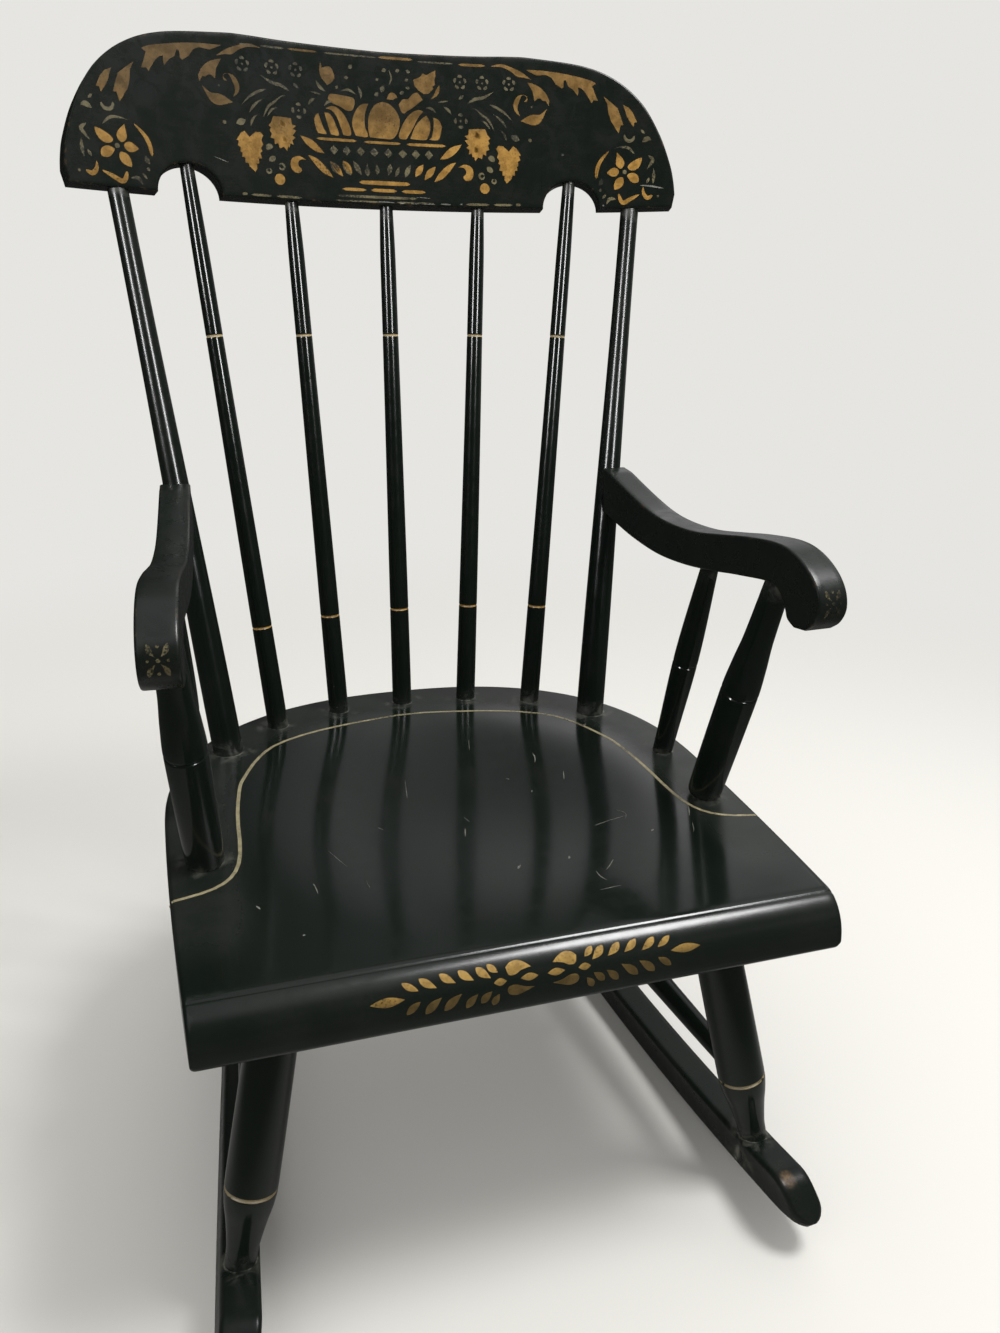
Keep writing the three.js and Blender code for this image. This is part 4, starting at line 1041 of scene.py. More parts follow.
def makeRockers():
    # Side view: the sole is an arc, the top runs level with it, and both ends slant
    r = rockers
    for side, sign in sides.items():
        rear, front = rockerEnds(sign)
        tips = [rockerTip(rear, -1), rockerTip(front, 1)[::-1]]
        middle = np.linspace(tips[0][-1, 0], tips[1][0, 0], r["middleSteps"])[1:-1]
        upper = np.vstack([tips[0], np.stack([middle, soleAt(middle) + r["height"]], 1), tips[1]])
        rear, front = rear + r["tipCorner"], front - r["tipCorner"]
        near = r["tipRound"] * (1 - np.cos(np.linspace(0, quarterTurn, len(tips[0]))))
        middle = np.linspace(rear + near[-1], front - near[-1], r["middleSteps"])[1:-1]
        run = np.concatenate([rear + near, middle, (front - near)[::-1]])
        sole = np.stack([run, soleAt(run)], 1)
        place = onRocker(sign)

        def values(points):
            toFoot = [np.hypot(points[:, 0] - sign * x, points[:, 1] - y) - legs["footDiameter"] / 2
                      for x, y in (legs["frontFoot"], legs["rearFoot"])]
            given = {"footGap": np.abs(np.minimum(*toFoot)), "dullShare": r["dull"]}
            if side in r["rubbed"]:
                back, inwards = r["rubbed"][side]
                height = soleAt(upper[-1, 0] - back) + r["height"]
                spot = place(np.array(upper[-1, 0] - back), np.array(height), np.array(sign * inwards))
                given["rubbedGap"] = np.linalg.norm((points - spot) * r["rubbedStretch"], axis=1)
            return given
        sawnBoard("curved_rocker_" + side, sole, upper, r, place, rockerLacquer, "rocker_lacquer",
                  "rocker_" + side, values)


def legLine(sign, which):
    # From the rocker's upper edge to the underside of the seat
    head, foot = legs[which + "Head"], legs[which + "Foot"]
    return (np.array([sign * foot[0], foot[1], rockerTopAt(sign, foot[1])]),
            np.array([sign * head[0], head[1], -seat["thickness"]]))


def makeLegs():
    # A hollow neck below the painted ring and a long, slight taper above it
    ringD, footD = legs["ringDiameter"], legs["footDiameter"]
    for side, sign in sides.items():
        for which in ("front", "rear"):
            foot, head = legLine(sign, which)
            length, scale = lengthAndScale(foot, head)
            ring = legs["ringRise"] * scale
            share, less = legs["shoulder"]
            above, calf = legs["calf"]
            keys = [(-pastEnd, footD), (0, footD),
                    *[(ring * part, footD + more) for part, more in legs["neck"]],
                    (ring * share, ringD + less), (ring, ringD), (ring + above, ringD + calf),
                    (length + pastEnd, legs["headDiameter"])]
            name = which + "_leg_" + side
            turnedPiece("turned_" + name, name, foot, head, keys, (ring,), legs["grooveDepth"],
                        legs["ringHalf"])


stretchers = {
    "frontRise": 84.0,
    "rearRise": 80.0,
    "side": {"middle": 17.0, "ends": 11.8, "clear": 5.0},  # diameters, and how far from the axes they stop
    "cross": {"middle": 15.0, "ends": 8.0, "clear": 4.0},
    "swell": 0.5,  # on the mean diameter, at a quarter of the length
    "step": 4,
}


def makeStretcher(name, node, start, end, size):
    # Fullest in the middle
    length = np.linalg.norm(end - start)
    quarter = (size["ends"] + size["middle"]) / 2 + stretchers["swell"]
    keys = [(0, size["ends"]), (length / 4, quarter), (length / 2, size["middle"]), (length * 3 / 4, quarter),
            (length, size["ends"])]
    turnedPiece(name, node, start, end, keys, sunk=-size["clear"], step=stretchers["step"])


def makeStretchers():
    # Side ones from leg to leg, and one across between their middles
    middles = []
    for side, sign in sides.items():
        ends = []
        for which in ("front", "rear"):
            foot, head = legLine(sign, which)
            rise = floorZ + stretchers[which + "Rise"] - foot[2]
            ends.append(foot + (head - foot) * rise / (head[2] - foot[2]))
        makeStretcher("turned_stretcher_" + side, "side_stretcher_" + side, *ends, stretchers["side"])
        middles.append((ends[0] + ends[1]) / 2)
    makeStretcher("turned_cross_stretcher", "cross_stretcher", *middles, stretchers["cross"])


feetOnSeat = [(*spindleLine(i)[0][:2], backSpindles["footOnSeat"])
              for i in range(len(backSpindles["footShares"]))]
for sign in sides.values():
    feetOnSeat += [(*postLine(sign)[0][:2], backPosts["footOnSeat"])]
    feetOnSeat += [(*armFoot(sign, what)[:2], what["footOnSeat"]) for what in (armPosts, armSpindles)]
makeSeat(feetOnSeat)
makeCrest()
makeBackPosts()
makeBackSpindles()
makeArms()
makeArmSupports()
makeRockers()
makeLegs()
makeStretchers()
print("chair built")

# Pins, plugs and screws keep their solid shape and take a finish
for name, node in frame["nodes"].items():
    if name.startswith(("arm_screw", "arm_plug", "crest_pin", "rocker_pin")):
        node.data.materials.clear()
        node.data.materials.append(screwSteel if name.startswith("arm_screw") else pinWood)


# Painted decoration: thin films laid on the surfaces, each between two edges of a motif

film = {
    "lift": 0.1,
    "sunk": 0.35,
    "rows": 4,
    # Samples of a stroke's line, of a motif's edge, round a dot and round a ring
    "lineSteps": 60, "edgeSteps": 90, "dotSteps": 15, "ringSteps": 9,
    "barBlunt": 0.12,
    "barStep": 2,  # millimetres for each of its columns, of which it has at least so many
    "barLeast": 8,
    "ringBlunt": 0.35,
    "petalBlunt": 0.55,
    "petalSteps": 10,
    "nickAndGleamBlunt": 0.6,
    "nickAndGleamSteps": 9,
}


def stroke(path, width, fullAt=0.5, blunt=1.0, count=22):
    # A smooth line through the path's points with half of the width on either side. The width swells as
    # sin(pi u^k) raised to the blunt power, so a leaf is pointed and a petal is round.
    line = evenly(splineThrough(path, film["lineSteps"]), count)
    along = directions(line)
    normal = np.stack([-along[:, 1], along[:, 0]], 1)
    u = np.linspace(0, 1, count) ** (math.log(0.5) / math.log(fullAt))
    half = width / 2 * np.abs(np.sin(np.pi * u))[:, None] ** blunt
    return line - normal * half, line + normal * half


def dot(x, y, radius):
    # A round spot: chords of a circle
    turn = np.linspace(0, np.pi, film["dotSteps"])
    side, rise = radius * np.cos(turn), radius * np.sin(turn)
    return np.stack([x - side, y - rise], 1), np.stack([x - side, y + rise], 1)


def between(first, second, count=26):
    # A motif drawn by its two edges, which meet at both tips
    return [evenly(splineThrough(edge, film["edgeSteps"]), count) for edge in (first, second)]


def cut(first, second):
    # A motif whose two edges are straight from point to point, so that its teeth stay sharp
    return np.array(first, float), np.array(second, float)


def halves(left, right):
    # Both sides of a toothed leaf, each cut along its midrib
    rib = lambda side: np.linspace(side[0], side[-1], len(side))
    return [cut(left, rib(left)), cut(rib(right), right)]


def diamond(x, y, half):
    # A square that stands on a corner
    return cut([(x - half, y), (x, y + half), (x + half, y)], [(x - half, y), (x, y - half), (x + half, y)])


def bar(x0, x1, y, width):
    # A ruled line
    count = max(film["barLeast"], int(abs(x1 - x0) / film["barStep"]))
    return stroke([(x0, y), ((x0 + x1) / 2, y), (x1, y)], width, blunt=film["barBlunt"], count=count)


flowerShares = {"spot": 0.16, "halfWidth": 0.36, "middle": 0.72, "bend": 0.12, "petal": 0.42}  # of its size


def flower(x, y, size, petals=5):
    # Petals round a centre spot
    part = {key: share * size for key, share in flowerShares.items()}
    made = [dot(x, y, part["spot"])]
    for k in range(petals):
        turn = math.pi / 2 + 2 * math.pi * k / petals
        out = np.array([math.cos(turn), math.sin(turn)])
        across = np.array([-out[1], out[0]]) * part["halfWidth"]
        middle = np.array([x, y]) + out * part["middle"]
        path = [middle - across, middle + out * part["bend"], middle + across]
        made.append(stroke(path, part["petal"], blunt=film["petalBlunt"], count=film["petalSteps"]))
    return made


def ring(x, y, radius, width, start, sweep):
    # A stroke along part of a circle
    turn = np.radians(start + np.linspace(0, sweep, film["ringSteps"]))
    path = np.stack([x + radius * np.cos(turn), y + radius * np.sin(turn)], 1)
    return stroke(path, width, blunt=film["ringBlunt"])


def mirrored(motifs, centre):
    # Motifs with their mirror images about x = centre, whose edges change places
    flip = lambda line: np.stack([2 * centre - line[:, 0], line[:, 1]], 1)
    return motifs + [(flip(b), flip(a)) for a, b in motifs]


def paint(name, motifs, place, material, slot):
    # Each motif is the grid (1 - v) * first edge + v * second edge, once above the surface and once below it
    points, faces, start = [], [], 0
    share = np.linspace(0, 1, film["rows"])[None, :, None]
    for first, second in motifs:
        flat = first[:, None] * (1 - share) + second[:, None] * share
        count = flat.shape[0] * flat.shape[1]
        numbers = start + np.arange(count).reshape(flat.shape[:2])
        points += [place(flat[..., 0], flat[..., 1], lift).reshape(-1, 3)
                   for lift in (film["lift"], -film["sunk"])]
        rim = np.concatenate([numbers[:, 0], numbers[-1, 1:], numbers[-2::-1, -1], numbers[0, -2:0:-1]])
        faces += [*gridFaces(numbers), *(gridFaces(numbers + count)[:, ::-1])]
        faces += [*gridFaces(np.stack([rim, rim + count]), True)]
        start += 2 * count
    makePiece(name, np.concatenate(points), faces, material, slot, sharp=30, merge=0.002)


def onCrestFace(along, up, lift):
    # Along the arc of the board's middle surface, up the board and lifted off its front
    x = crest["bendRadius"] * np.sin(along / crest["bendRadius"])
    return onCrest(x, up, np.full(x.shape, -crest["thickness"] / 2 - lift))


# The crest's stencil, in millimetres along the board and up it. Half of it is drawn and mirrored.
crestPainting = {"centre": -2.0}


def crestSprays():
    # The full gold motifs of the right half: leaves, vine leaves, scroll, crescent and side flower
    return [
        cut([(104, 91.8), (110, 91.6), (116, 91.4), (119.5, 91.1), (122.5, 90.8), (125.5, 90.5),
             (127.5, 90.2), (129.5, 89.9), (131.5, 89.6), (133.5, 89.3), (135.5, 88.9), (137.5, 88.5),
             (139, 88.2), (140.5, 87.9), (142.5, 87.5), (144.5, 87.1), (146.5, 86.6), (148, 86.2),
             (149.5, 85.8), (150.6, 85.4), (151.6, 85), (152.6, 84.6), (154.2, 83.8)],
            [(104, 91.4), (111.2, 88.2), (118, 88.8), (122, 87), (125, 82.8), (129.4, 80), (130.6, 81),
             (130.8, 85), (132.2, 85.8), (134.2, 81.4), (137.4, 79.6), (141, 75.4), (141.5, 78),
             (141.3, 81), (143.8, 80.2), (146.4, 77.8), (151.2, 70.6), (152.2, 72.6), (155.6, 72.2),
             (153.8, 76.4), (151.6, 79.4), (151.6, 81.8), (154.2, 83.2)]),
        cut([(104.4, 83.6), (107.5, 83), (110.5, 82), (113, 80.8), (115.4, 79), (117.8, 76.4), (120, 72.2),
             (119.5, 68.6)],
            [(104.4, 83.6), (108, 77.6), (109.2, 71.4), (111.4, 73.2), (113.2, 73.4), (115.4, 71.8),
             (117.4, 71.8), (119.4, 68.6)]),
        between([(78.4, 93.4), (86, 94.8), (94, 92.6), (101, 89.6), (107.4, 85.2)],
                [(78.4, 93), (86, 92.8), (92, 90.6), (97, 87.2), (102, 86.6), (107.4, 85.2)]),
        between([(98.6, 58.2), (104, 61.4), (108, 62.6), (113, 62.8), (118.2, 66.6)],
                [(98.6, 58.2), (103.6, 56.6), (108.4, 55.6), (113.4, 58), (118.2, 66.6)]),
        between([(98.4, 61.4), (96.6, 66), (98, 71), (100.4, 75.2), (103.8, 73.8), (103.6, 71.2),
                 (101.4, 70.8)],
                [(98.4, 61.4), (94.6, 64.6), (93.8, 69.4), (96.4, 74), (100.4, 75.4), (104, 74),
                 (101.4, 70.8)]),
        cut([(160, 75), (162.6, 70), (163.4, 64), (165.2, 58.6), (167.4, 55.6), (168.6, 53.4),
             (170.7, 50.8)],
            [(160, 75), (166, 70.6), (170.2, 67.2), (172, 62.6), (174.2, 56), (172.5, 57), (170.8, 50.8)]),
        cut([(174, 69.6), (175.6, 66), (176.4, 63), (177.6, 60.6), (179.4, 57.8), (181.6, 54.8)],
            [(174, 69.6), (178.4, 67.6), (181.4, 64), (184.4, 57.8), (182.5, 57.8), (181.7, 54.8)]),
        *halves([(89.4, 37.9), (85.2, 41.4), (81.8, 41.6), (80.2, 39.6), (81.6, 36.8), (80.6, 34),
                 (82.2, 31.8), (81.4, 29.8), (82.9, 28.6), (82, 25.2), (84.2, 26.4), (84.2, 22),
                 (85.8, 23.2), (85.6, 19), (87.1, 16.6)],
                [(89.4, 37.9), (92.6, 41.6), (95, 40), (98.2, 35.6), (96.6, 35), (97.6, 32.4), (95.8, 31.2),
                 (96, 28.4), (94.7, 28), (95.2, 25.4), (93.2, 25.6), (93.3, 22), (91.6, 23), (90.6, 19.6),
                 (87.1, 16.6)]),
        *halves([(67, 52.2), (60.6, 51.8), (60.2, 48), (57.4, 47.4), (60, 45.2), (57.4, 44.4), (60.3, 41.2),
                 (58.4, 39.8), (60.6, 38.2), (60, 35.4), (62, 36.2), (62.8, 33.4), (63.6, 34.4),
                 (64.6, 31.2)],
                [(67, 52.2), (72.6, 52.2), (74.2, 48.2), (76, 46.4), (74.6, 45), (75.4, 43), (74.2, 41.4),
                 (75.2, 38.6), (72.8, 38.2), (72.6, 34.8), (70.6, 36.4), (69.4, 32.4), (67.8, 34.9),
                 (64.6, 31.2)]),
        between([(52, 26.6), (56.8, 28.6), (61.8, 26.6), (62.8, 22), (61, 18.6), (57.6, 17.8), (55.4, 19.4)],
                [(52, 26.6), (55.6, 26.4), (57.6, 24.4), (57.2, 22), (55.8, 21), (55.4, 19.4)]),
        between([(39, 31.4), (43, 36), (48, 39.8), (55, 41.6)],
                [(39, 31.4), (45, 32.4), (51, 36.4), (55, 41.6)]),
        between([(34, 16.4), (37, 21), (42, 26), (46.6, 28.8), (50.4, 29.6)],
                [(34, 16.4), (40, 18.6), (45, 23), (48, 26.6), (50.4, 29.6)]),
        stroke([(27, 17.4), (31, 22), (35.6, 26.6)], 4.4),
        stroke([(20.6, 19.4), (23.4, 23.4), (26.6, 27.6)], 4.4), dot(70.8, 13, 3.5),
        # The round flower at the end of the board
        stroke([(169.2, 38), (171.2, 32), (172, 26.8)], 6.2, 0.66, 0.7),
        stroke([(177, 27.6), (182.4, 29), (187.6, 34)], 6, 0.42, 0.7),
        stroke([(161.6, 24), (166, 24.4), (170.6, 25.4)], 6, 0.6, 0.6),
        stroke([(176.6, 22.4), (181, 20.8), (185, 17.8)], 6.4, 0.55, 0.6),
        stroke([(167, 12.8), (170.4, 17), (173.4, 21)], 6.2, 0.55, 0.65),
        stroke([(153.6, 20.4), (154.6, 27), (157.4, 32.6), (163.4, 38.8)], 2.7, 0.35, 0.6),
        stroke([(170.2, 10), (171.6, 5.4), (174, 3.8), (179, 6.2), (185.6, 9.2)], 3, 0.4, 0.5),
        stroke([(188.4, 14.4), (188.8, 9.8), (191.6, 6.8), (195.4, 8.4)], 2.9, 0.6, 0.5),
    ]


def crestMiddle():
    # A footed bowl of ribbed and round fruit between two large leaves
    return [
        between([(-10.6, 43.6), (-11.4, 50), (-10.2, 58), (-6, 64.2), (-0.6, 66.6)],
                [(-10.6, 43.6), (-2, 43.2), (5.4, 43.4), (9.4, 48), (11.2, 55), (9, 61.2), (4.4, 65.4),
                 (-0.6, 66.6)], 44),
        between([(-20.4, 44), (-22.4, 50), (-21.6, 56), (-18, 62), (-14.4, 64.4), (-10.4, 64.8)],
                [(-20.4, 44), (-12, 43.8), (-13.6, 50), (-13.6, 55.4), (-12.6, 60), (-10.4, 64.8)], 36),
        between([(-29, 43.8), (-30.4, 48), (-33, 55), (-36, 58.6), (-40.4, 60)],
                [(-29, 43.8), (-24, 44), (-24.2, 49), (-27.4, 56.2), (-32, 60.6), (-36, 61.6),
                 (-40.4, 60)], 36),
        between([(-37.8, 43.8), (-39, 48), (-40.4, 53), (-41.4, 57.2)],
                [(-37.8, 43.8), (-32.2, 43.6), (-34, 50), (-36, 54.6), (-38.4, 57), (-41.4, 57.2)], 32),
        between([(-46.4, 44), (-47.8, 47), (-48.6, 52), (-47.6, 55), (-45.6, 56.6)],
                [(-46.4, 44), (-40.8, 43.8), (-42.4, 47), (-44.2, 52), (-45.6, 56.6)], 32),
        between([(11, 43.6), (10, 45.6), (12.4, 51.6), (16, 57), (20.6, 61.2), (25, 62.8), (28.2, 62)],
                [(11, 43.6), (15, 43.6), (17, 46), (20.4, 51), (24.4, 57.8), (28.2, 62)], 36),
        between([(18.2, 44), (19.4, 46.6), (22, 52), (26.4, 56.8), (30.4, 59.6)],
                [(18.2, 44), (28.6, 43.6), (31, 46), (32.8, 50.6), (32.6, 55.6), (30.4, 59.6)], 36),
        between([(31.6, 44), (33.6, 46), (35, 51), (35.4, 55), (35.2, 58.4)],
                [(31.6, 44), (38, 44), (40.2, 48.4), (41, 53), (39, 57), (35.2, 58.4)], 32),
        between([(-38.4, 66), (-37, 69), (-32, 69.2), (-26, 68.6), (-20.6, 67.6), (-20, 64)],
                [(-38.4, 66), (-35.6, 63.6), (-30, 61.6), (-26, 59.6), (-22, 60), (-20, 64)], 32),
        between([(11, 65.6), (14, 69), (18, 69.6), (21.4, 73), (25, 73.6), (28.2, 69.6)],
                [(11, 65.6), (12.2, 62), (14, 60), (17, 61.8), (21, 64.2), (28.2, 69.6)], 32),
        between([(-42.2, 88.6), (-41, 84.6), (-38.4, 86), (-35, 85.4), (-33, 80), (-35, 76.8),
                 (-38.2, 74.4)],
                [(-42.2, 88.6), (-43.2, 83), (-42, 78.8), (-38.2, 74.4)], 34),
        cut([(29, 73.4), (25.4, 75.4), (23, 78), (22, 82), (25, 83), (27.6, 84.4), (29, 86.4), (31.6, 85.4),
             (38.1, 88.8)],
            [(29, 73.4), (32.4, 73.4), (34.6, 75.4), (36.2, 76.8), (35.6, 78.4), (37.4, 79.6), (37.2, 82.4),
             (38, 85), (38.2, 88.7)]),
        stroke([(34, 70), (38, 73.6), (40.6, 79.4)], 2.6, 0.6),
        stroke([(2.6, 68.4), (6.6, 70.6), (10.2, 70)], 4.6, 0.55),
    ]


def crestLines():
    # Bars and dashes that were ruled along the edges and under the bowl
    return [
        bar(-20, 16.6, 14.3, 2.7), bar(-12, 7, 9.5, 2.2), bar(10, 27.6, 9.4, 2.2), bar(-32, -15, 9.4, 2.0),
        bar(-2, 22.4, 94.6, 1.7), bar(54.6, 74.2, 93.3, 1.7), bar(-64, -44, 94.4, 1.3),
        bar(15.2, 43.6, 40.3, 1.9), bar(-15, 11.2, 40.4, 1.7), bar(-48, -20, 40.6, 1.8),
    ]


def crestFaint():
    # What has worn to a greyish gold: ferns, small flowers, ringlets, petals and broken dashes
    made = [
        stroke([(60, 68.4), (66, 71.6), (72, 72.8), (80, 77)], 2.2, 0.4),
        stroke([(62, 65.4), (66, 65), (70.6, 61.4), (75.4, 57.8), (79.2, 51)], 1.6, 0.6),
        stroke([(69.6, 57.6), (73, 56.2), (76.4, 51.8)], 1.4),
        stroke([(76, 68.4), (82, 66.2), (88, 62.4), (93.4, 57)], 1.7, 0.35),
        stroke([(78, 62.6), (84, 58.6), (88.4, 53)], 1.7, 0.6),
        stroke([(82.6, 52.4), (86, 49.6), (88, 44.8)], 1.6, 0.6),
        stroke([(43, 65.6), (46, 64), (48.4, 61)], 1.9),
        stroke([(30, 64.4), (34, 64.2), (37.4, 61.4)], 1.7), stroke([(54, 70.8), (57.8, 73.8)], 1.9),
        stroke([(39, 68.4), (46.6, 69.6)], 1.2), stroke([(91, 48.4), (94, 47), (97.6, 45.6)], 4.2),
        stroke([(74, 33.4), (76.6, 33), (78.4, 31)], 3.8, blunt=0.6),
        stroke([(72.8, 27), (75, 25.6), (77.2, 24)], 3.6, blunt=0.6), ring(69, 21.2, 1.8, 1.5, 20, 340),
        ring(77.8, 18, 1.4, 1.3, 100, 340), ring(178.6, 49, 3.6, 2.3, 165, 195),
        stroke([(188, 44.6), (191.8, 46.8), (194.8, 45.8)], 3.4), stroke([(187, 53), (190, 50.2)], 1.7),
        stroke([(166.6, 40.2), (172, 41.4), (178, 40.6), (182.8, 36)], 1.9, 0.6),
        stroke([(192.4, 35.6), (195.8, 32.6), (193.6, 29), (191, 26)], 2.4, 0.4), dot(156.6, 12.4, 1.1),
        stroke([(196.2, 27), (196.4, 21.4), (195.6, 15.8)], 2.3), stroke([(193.2, 20.6), (191, 16.6)], 1.9),
        stroke([(161, 2.8), (163.6, 6.4), (168.4, 6.2)], 2.4), stroke([(157.8, 6.4), (160.6, 9.4)], 1.9),
        stroke([(155.4, 15.4), (157.2, 18), (157.6, 20.4)], 3), dot(174.8, 24.6, 1.5), dot(199.4, 7.8, 0.8),
        dot(105.2, 45.6, 1.2), dot(107, 67.6, 0.7), bar(56.4, 74, 2.2, 1.6), bar(77, 91, 2.2, 1.5),
        bar(93.4, 97, 2.4, 1.8),
    ]
    for x in (55.4, 71.4, 90.8):
        made += flower(x, 82, 4.6)
    made += flower(55, 57, 4.8, 4)
    return mirrored(made, crestPainting["centre"])


def crestFaintMiddle():
    # The same round the bowl, with diamonds, petals and thin bars
    return [
        *(diamond(x, 34, 3) for x in (-36.4, -27.4, -17.6, -8, 2, 12.2, 21.6, 31)),
        stroke([(-13.4, 27), (-13.6, 22), (-13.4, 18.4)], 3.6, 0.65),
        stroke([(-7, 26.6), (-6.4, 22), (-6.8, 19.6)], 2.8, 0.6),
        stroke([(1, 19.4), (2.2, 23), (3, 27)], 3.6, 0.55),
        stroke([(6, 18.6), (8, 22.4), (9.2, 25.6)], 2.4), stroke([(13, 18.4), (15, 22.6), (17.4, 27)], 3.4),
        stroke([(-18, 19), (-20.4, 23), (-23.4, 27.8)], 3.6),
        stroke([(-25.2, 18.2), (-28, 22), (-31, 26.8)], 3.8),
        stroke([(-32.8, 18.4), (-36, 22.4), (-39.2, 26.8)], 5), bar(-36, 21, 5, 1.7),
        bar(-38, -6, 1.9, 1.0), bar(6, 34, 2.2, 0.9), bar(-40, -3, 94.3, 1.0), bar(25.4, 51, 93.6, 1.1),
        bar(-96, -86, 94, 1.1), bar(-82, -66, 94.3, 1.2),
        stroke([(-46, 77), (-43.6, 73), (-39.8, 70.4)], 2.2), stroke([(-32.6, 72.6), (-31, 74.8)], 1.8),
        stroke([(-29.4, 71.4), (-24, 72.6), (-18.4, 70)], 1.6),
        stroke([(-17.2, 75.4), (-15.4, 71), (-15.6, 67.6)], 2),
        stroke([(4.4, 77), (6.6, 82), (5, 87.4)], 1.2), stroke([(-6, 70.4), (-2.6, 72)], 2.6),
        stroke([(-1.2, 72.6), (1, 77)], 3), stroke([(0, 86), (3.4, 87.4)], 2.4),
        stroke([(12, 72.4), (15, 74)], 2.4), stroke([(16.4, 76.8), (19.4, 76.2)], 2),
        stroke([(9.6, 86.6), (12.6, 87.4)], 2.2), stroke([(17, 87.4), (20, 86.4)], 2.2),
        stroke([(16, 81), (18.6, 82)], 1.8), stroke([(-23, 86), (-20.4, 88.4)], 2.6),
        stroke([(-26.4, 80), (-23.4, 80.4)], 2.2), stroke([(-4.6, 80), (-2.4, 81)], 1.6),
    ]


gold = mirrored(crestSprays(), crestPainting["centre"]) + crestMiddle() + crestLines()
paint("crest_stencil", gold, onCrestFace, stencilBronze, "board_lacquer")
paint("crest_stencil_faded", crestFaint() + crestFaintMiddle(), onCrestFace, fadedBronze, "board_lacquer")

# The seat's stencil runs along the roll. Places are across the seat and down the roll's curve.
rollPainting = {
    "centre": -1.3,
    # Leaves: tip, end, width, where they are fullest and how far their middle leans out
    "leaves": [
        ((24, 17), (29, 12.3), 3.6, 0.55, 0.3), ((28, 19.2), (35, 12.8), 4.4, 0.6, 0.6),
        ((37, 18.8), (44.5, 12.8), 4.2, 0.6, 0.6), ((46.5, 18.5), (54.3, 12.8), 4.0, 0.6, 0.6),
        ((56.5, 19.2), (65, 13.4), 4.0, 0.6, 0.6), ((66, 19), (74, 14), 3.4, 0.55, 0.5),
        ((24, 28), (27.6, 34), 4.0, 0.6, 0.4), ((28, 26), (34, 31.5), 4.2, 0.6, 0.5),
        ((35.5, 26), (42, 32.6), 4.2, 0.6, 0.5), ((44, 24.3), (53.5, 31.8), 4.6, 0.6, 0.6),
        ((54.5, 24.3), (63.3, 31.6), 4.6, 0.6, 0.6), ((65.5, 24.5), (73, 30), 3.8, 0.55, 0.4)],
    "leafBlunt": 0.75,
    "stemDown": 22,
    "curveSteps": 300,  # along the quarter of the roll's ellipse
    "stem": [(2.5, 12.2, 3.8), (19.8, 26.8, 3.8), (73.3, 91, 4.7)],  # start, end and width
}
rollTurn = np.linspace(0, quarterTurn, rollPainting["curveSteps"])
rollLine = np.stack([seat["rollY"] - seat["rollDepth"] * np.sin(rollTurn),
                     seat["rollDrop"] * (np.cos(rollTurn) - 1)], 1)
rollLine = np.vstack([rollLine, [seat["frontY"], -seat["thickness"] + seat["lowerRound"]]])
rollLength = lengthAlong(rollLine)


def onRoll(x, down, lift):
    # Down the ellipse of the roll and out along its normal, which is (depth', drop') turned a quarter
    y, z = (np.interp(down, rollLength, part) for part in rollLine.T)
    flat = (seat["rollY"] - y) / seat["rollDepth"] ** 2
    rise = (z + seat["rollDrop"]) / seat["rollDrop"] ** 2
    size = np.hypot(flat, rise)
    return np.stack([x, y - flat / size * lift, z + rise / size * lift], -1)


def rollSpray():
    # Drawn to the right of the centre, whose x is zero here
    p = rollPainting
    made = [stroke([tip, ((tip[0] + end[0]) / 2 + lean, (tip[1] + end[1]) / 2), end], width, full,
                   p["leafBlunt"])
            for tip, end, width, full, lean in p["leaves"]]
    down = p["stemDown"]
    made += [stroke([(a, down), ((a + b) / 2, down), (b, down)], width) for a, b, width in p["stem"]]
    made += [between([(6, 17), (9, 14.4), (13, 12.6), (17, 13.2), (19.6, 15.4)],
                     [(6, 17), (11, 17.8), (15, 19.6), (18.4, 19.2), (19.6, 15.4)]),
             between([(5, 27.4), (10, 26.6), (15, 24.8), (18.8, 25.2), (19.8, 27.2)],
                     [(5, 27.4), (10, 29.2), (14.6, 30.4), (18.6, 29.4), (19.8, 27.2)])]
    return [(a + [p["centre"], 0], b + [p["centre"], 0]) for a, b in made]


paint("seat_stencil", mirrored(rollSpray(), rollPainting["centre"]), onRoll, rollBronze, "seat_lacquer")

# The pinstripe on the seat follows the saddle's border, then turns out to the sides before the arm posts
pinstripe = {
    "width": 2.3,
    "path": [(184.5, -183), (162, -177), (149, -165), (143, -142), (141, -96), (137, -60), (133, -45),
             (121, -17), (104, 4), (70, 20), (23, 30), (0, 32)],
    "blunt": 0.02,
    "count": 420,
}


def onSeat(x, y, lift):
    # On the saddle's surface, lowered by the rim's round near the edge
    return np.stack([x, y, seatTopAt(x, y) + lift - quarterDrop(seatEdgeGap(x, y), seat["rimRound"])], -1)


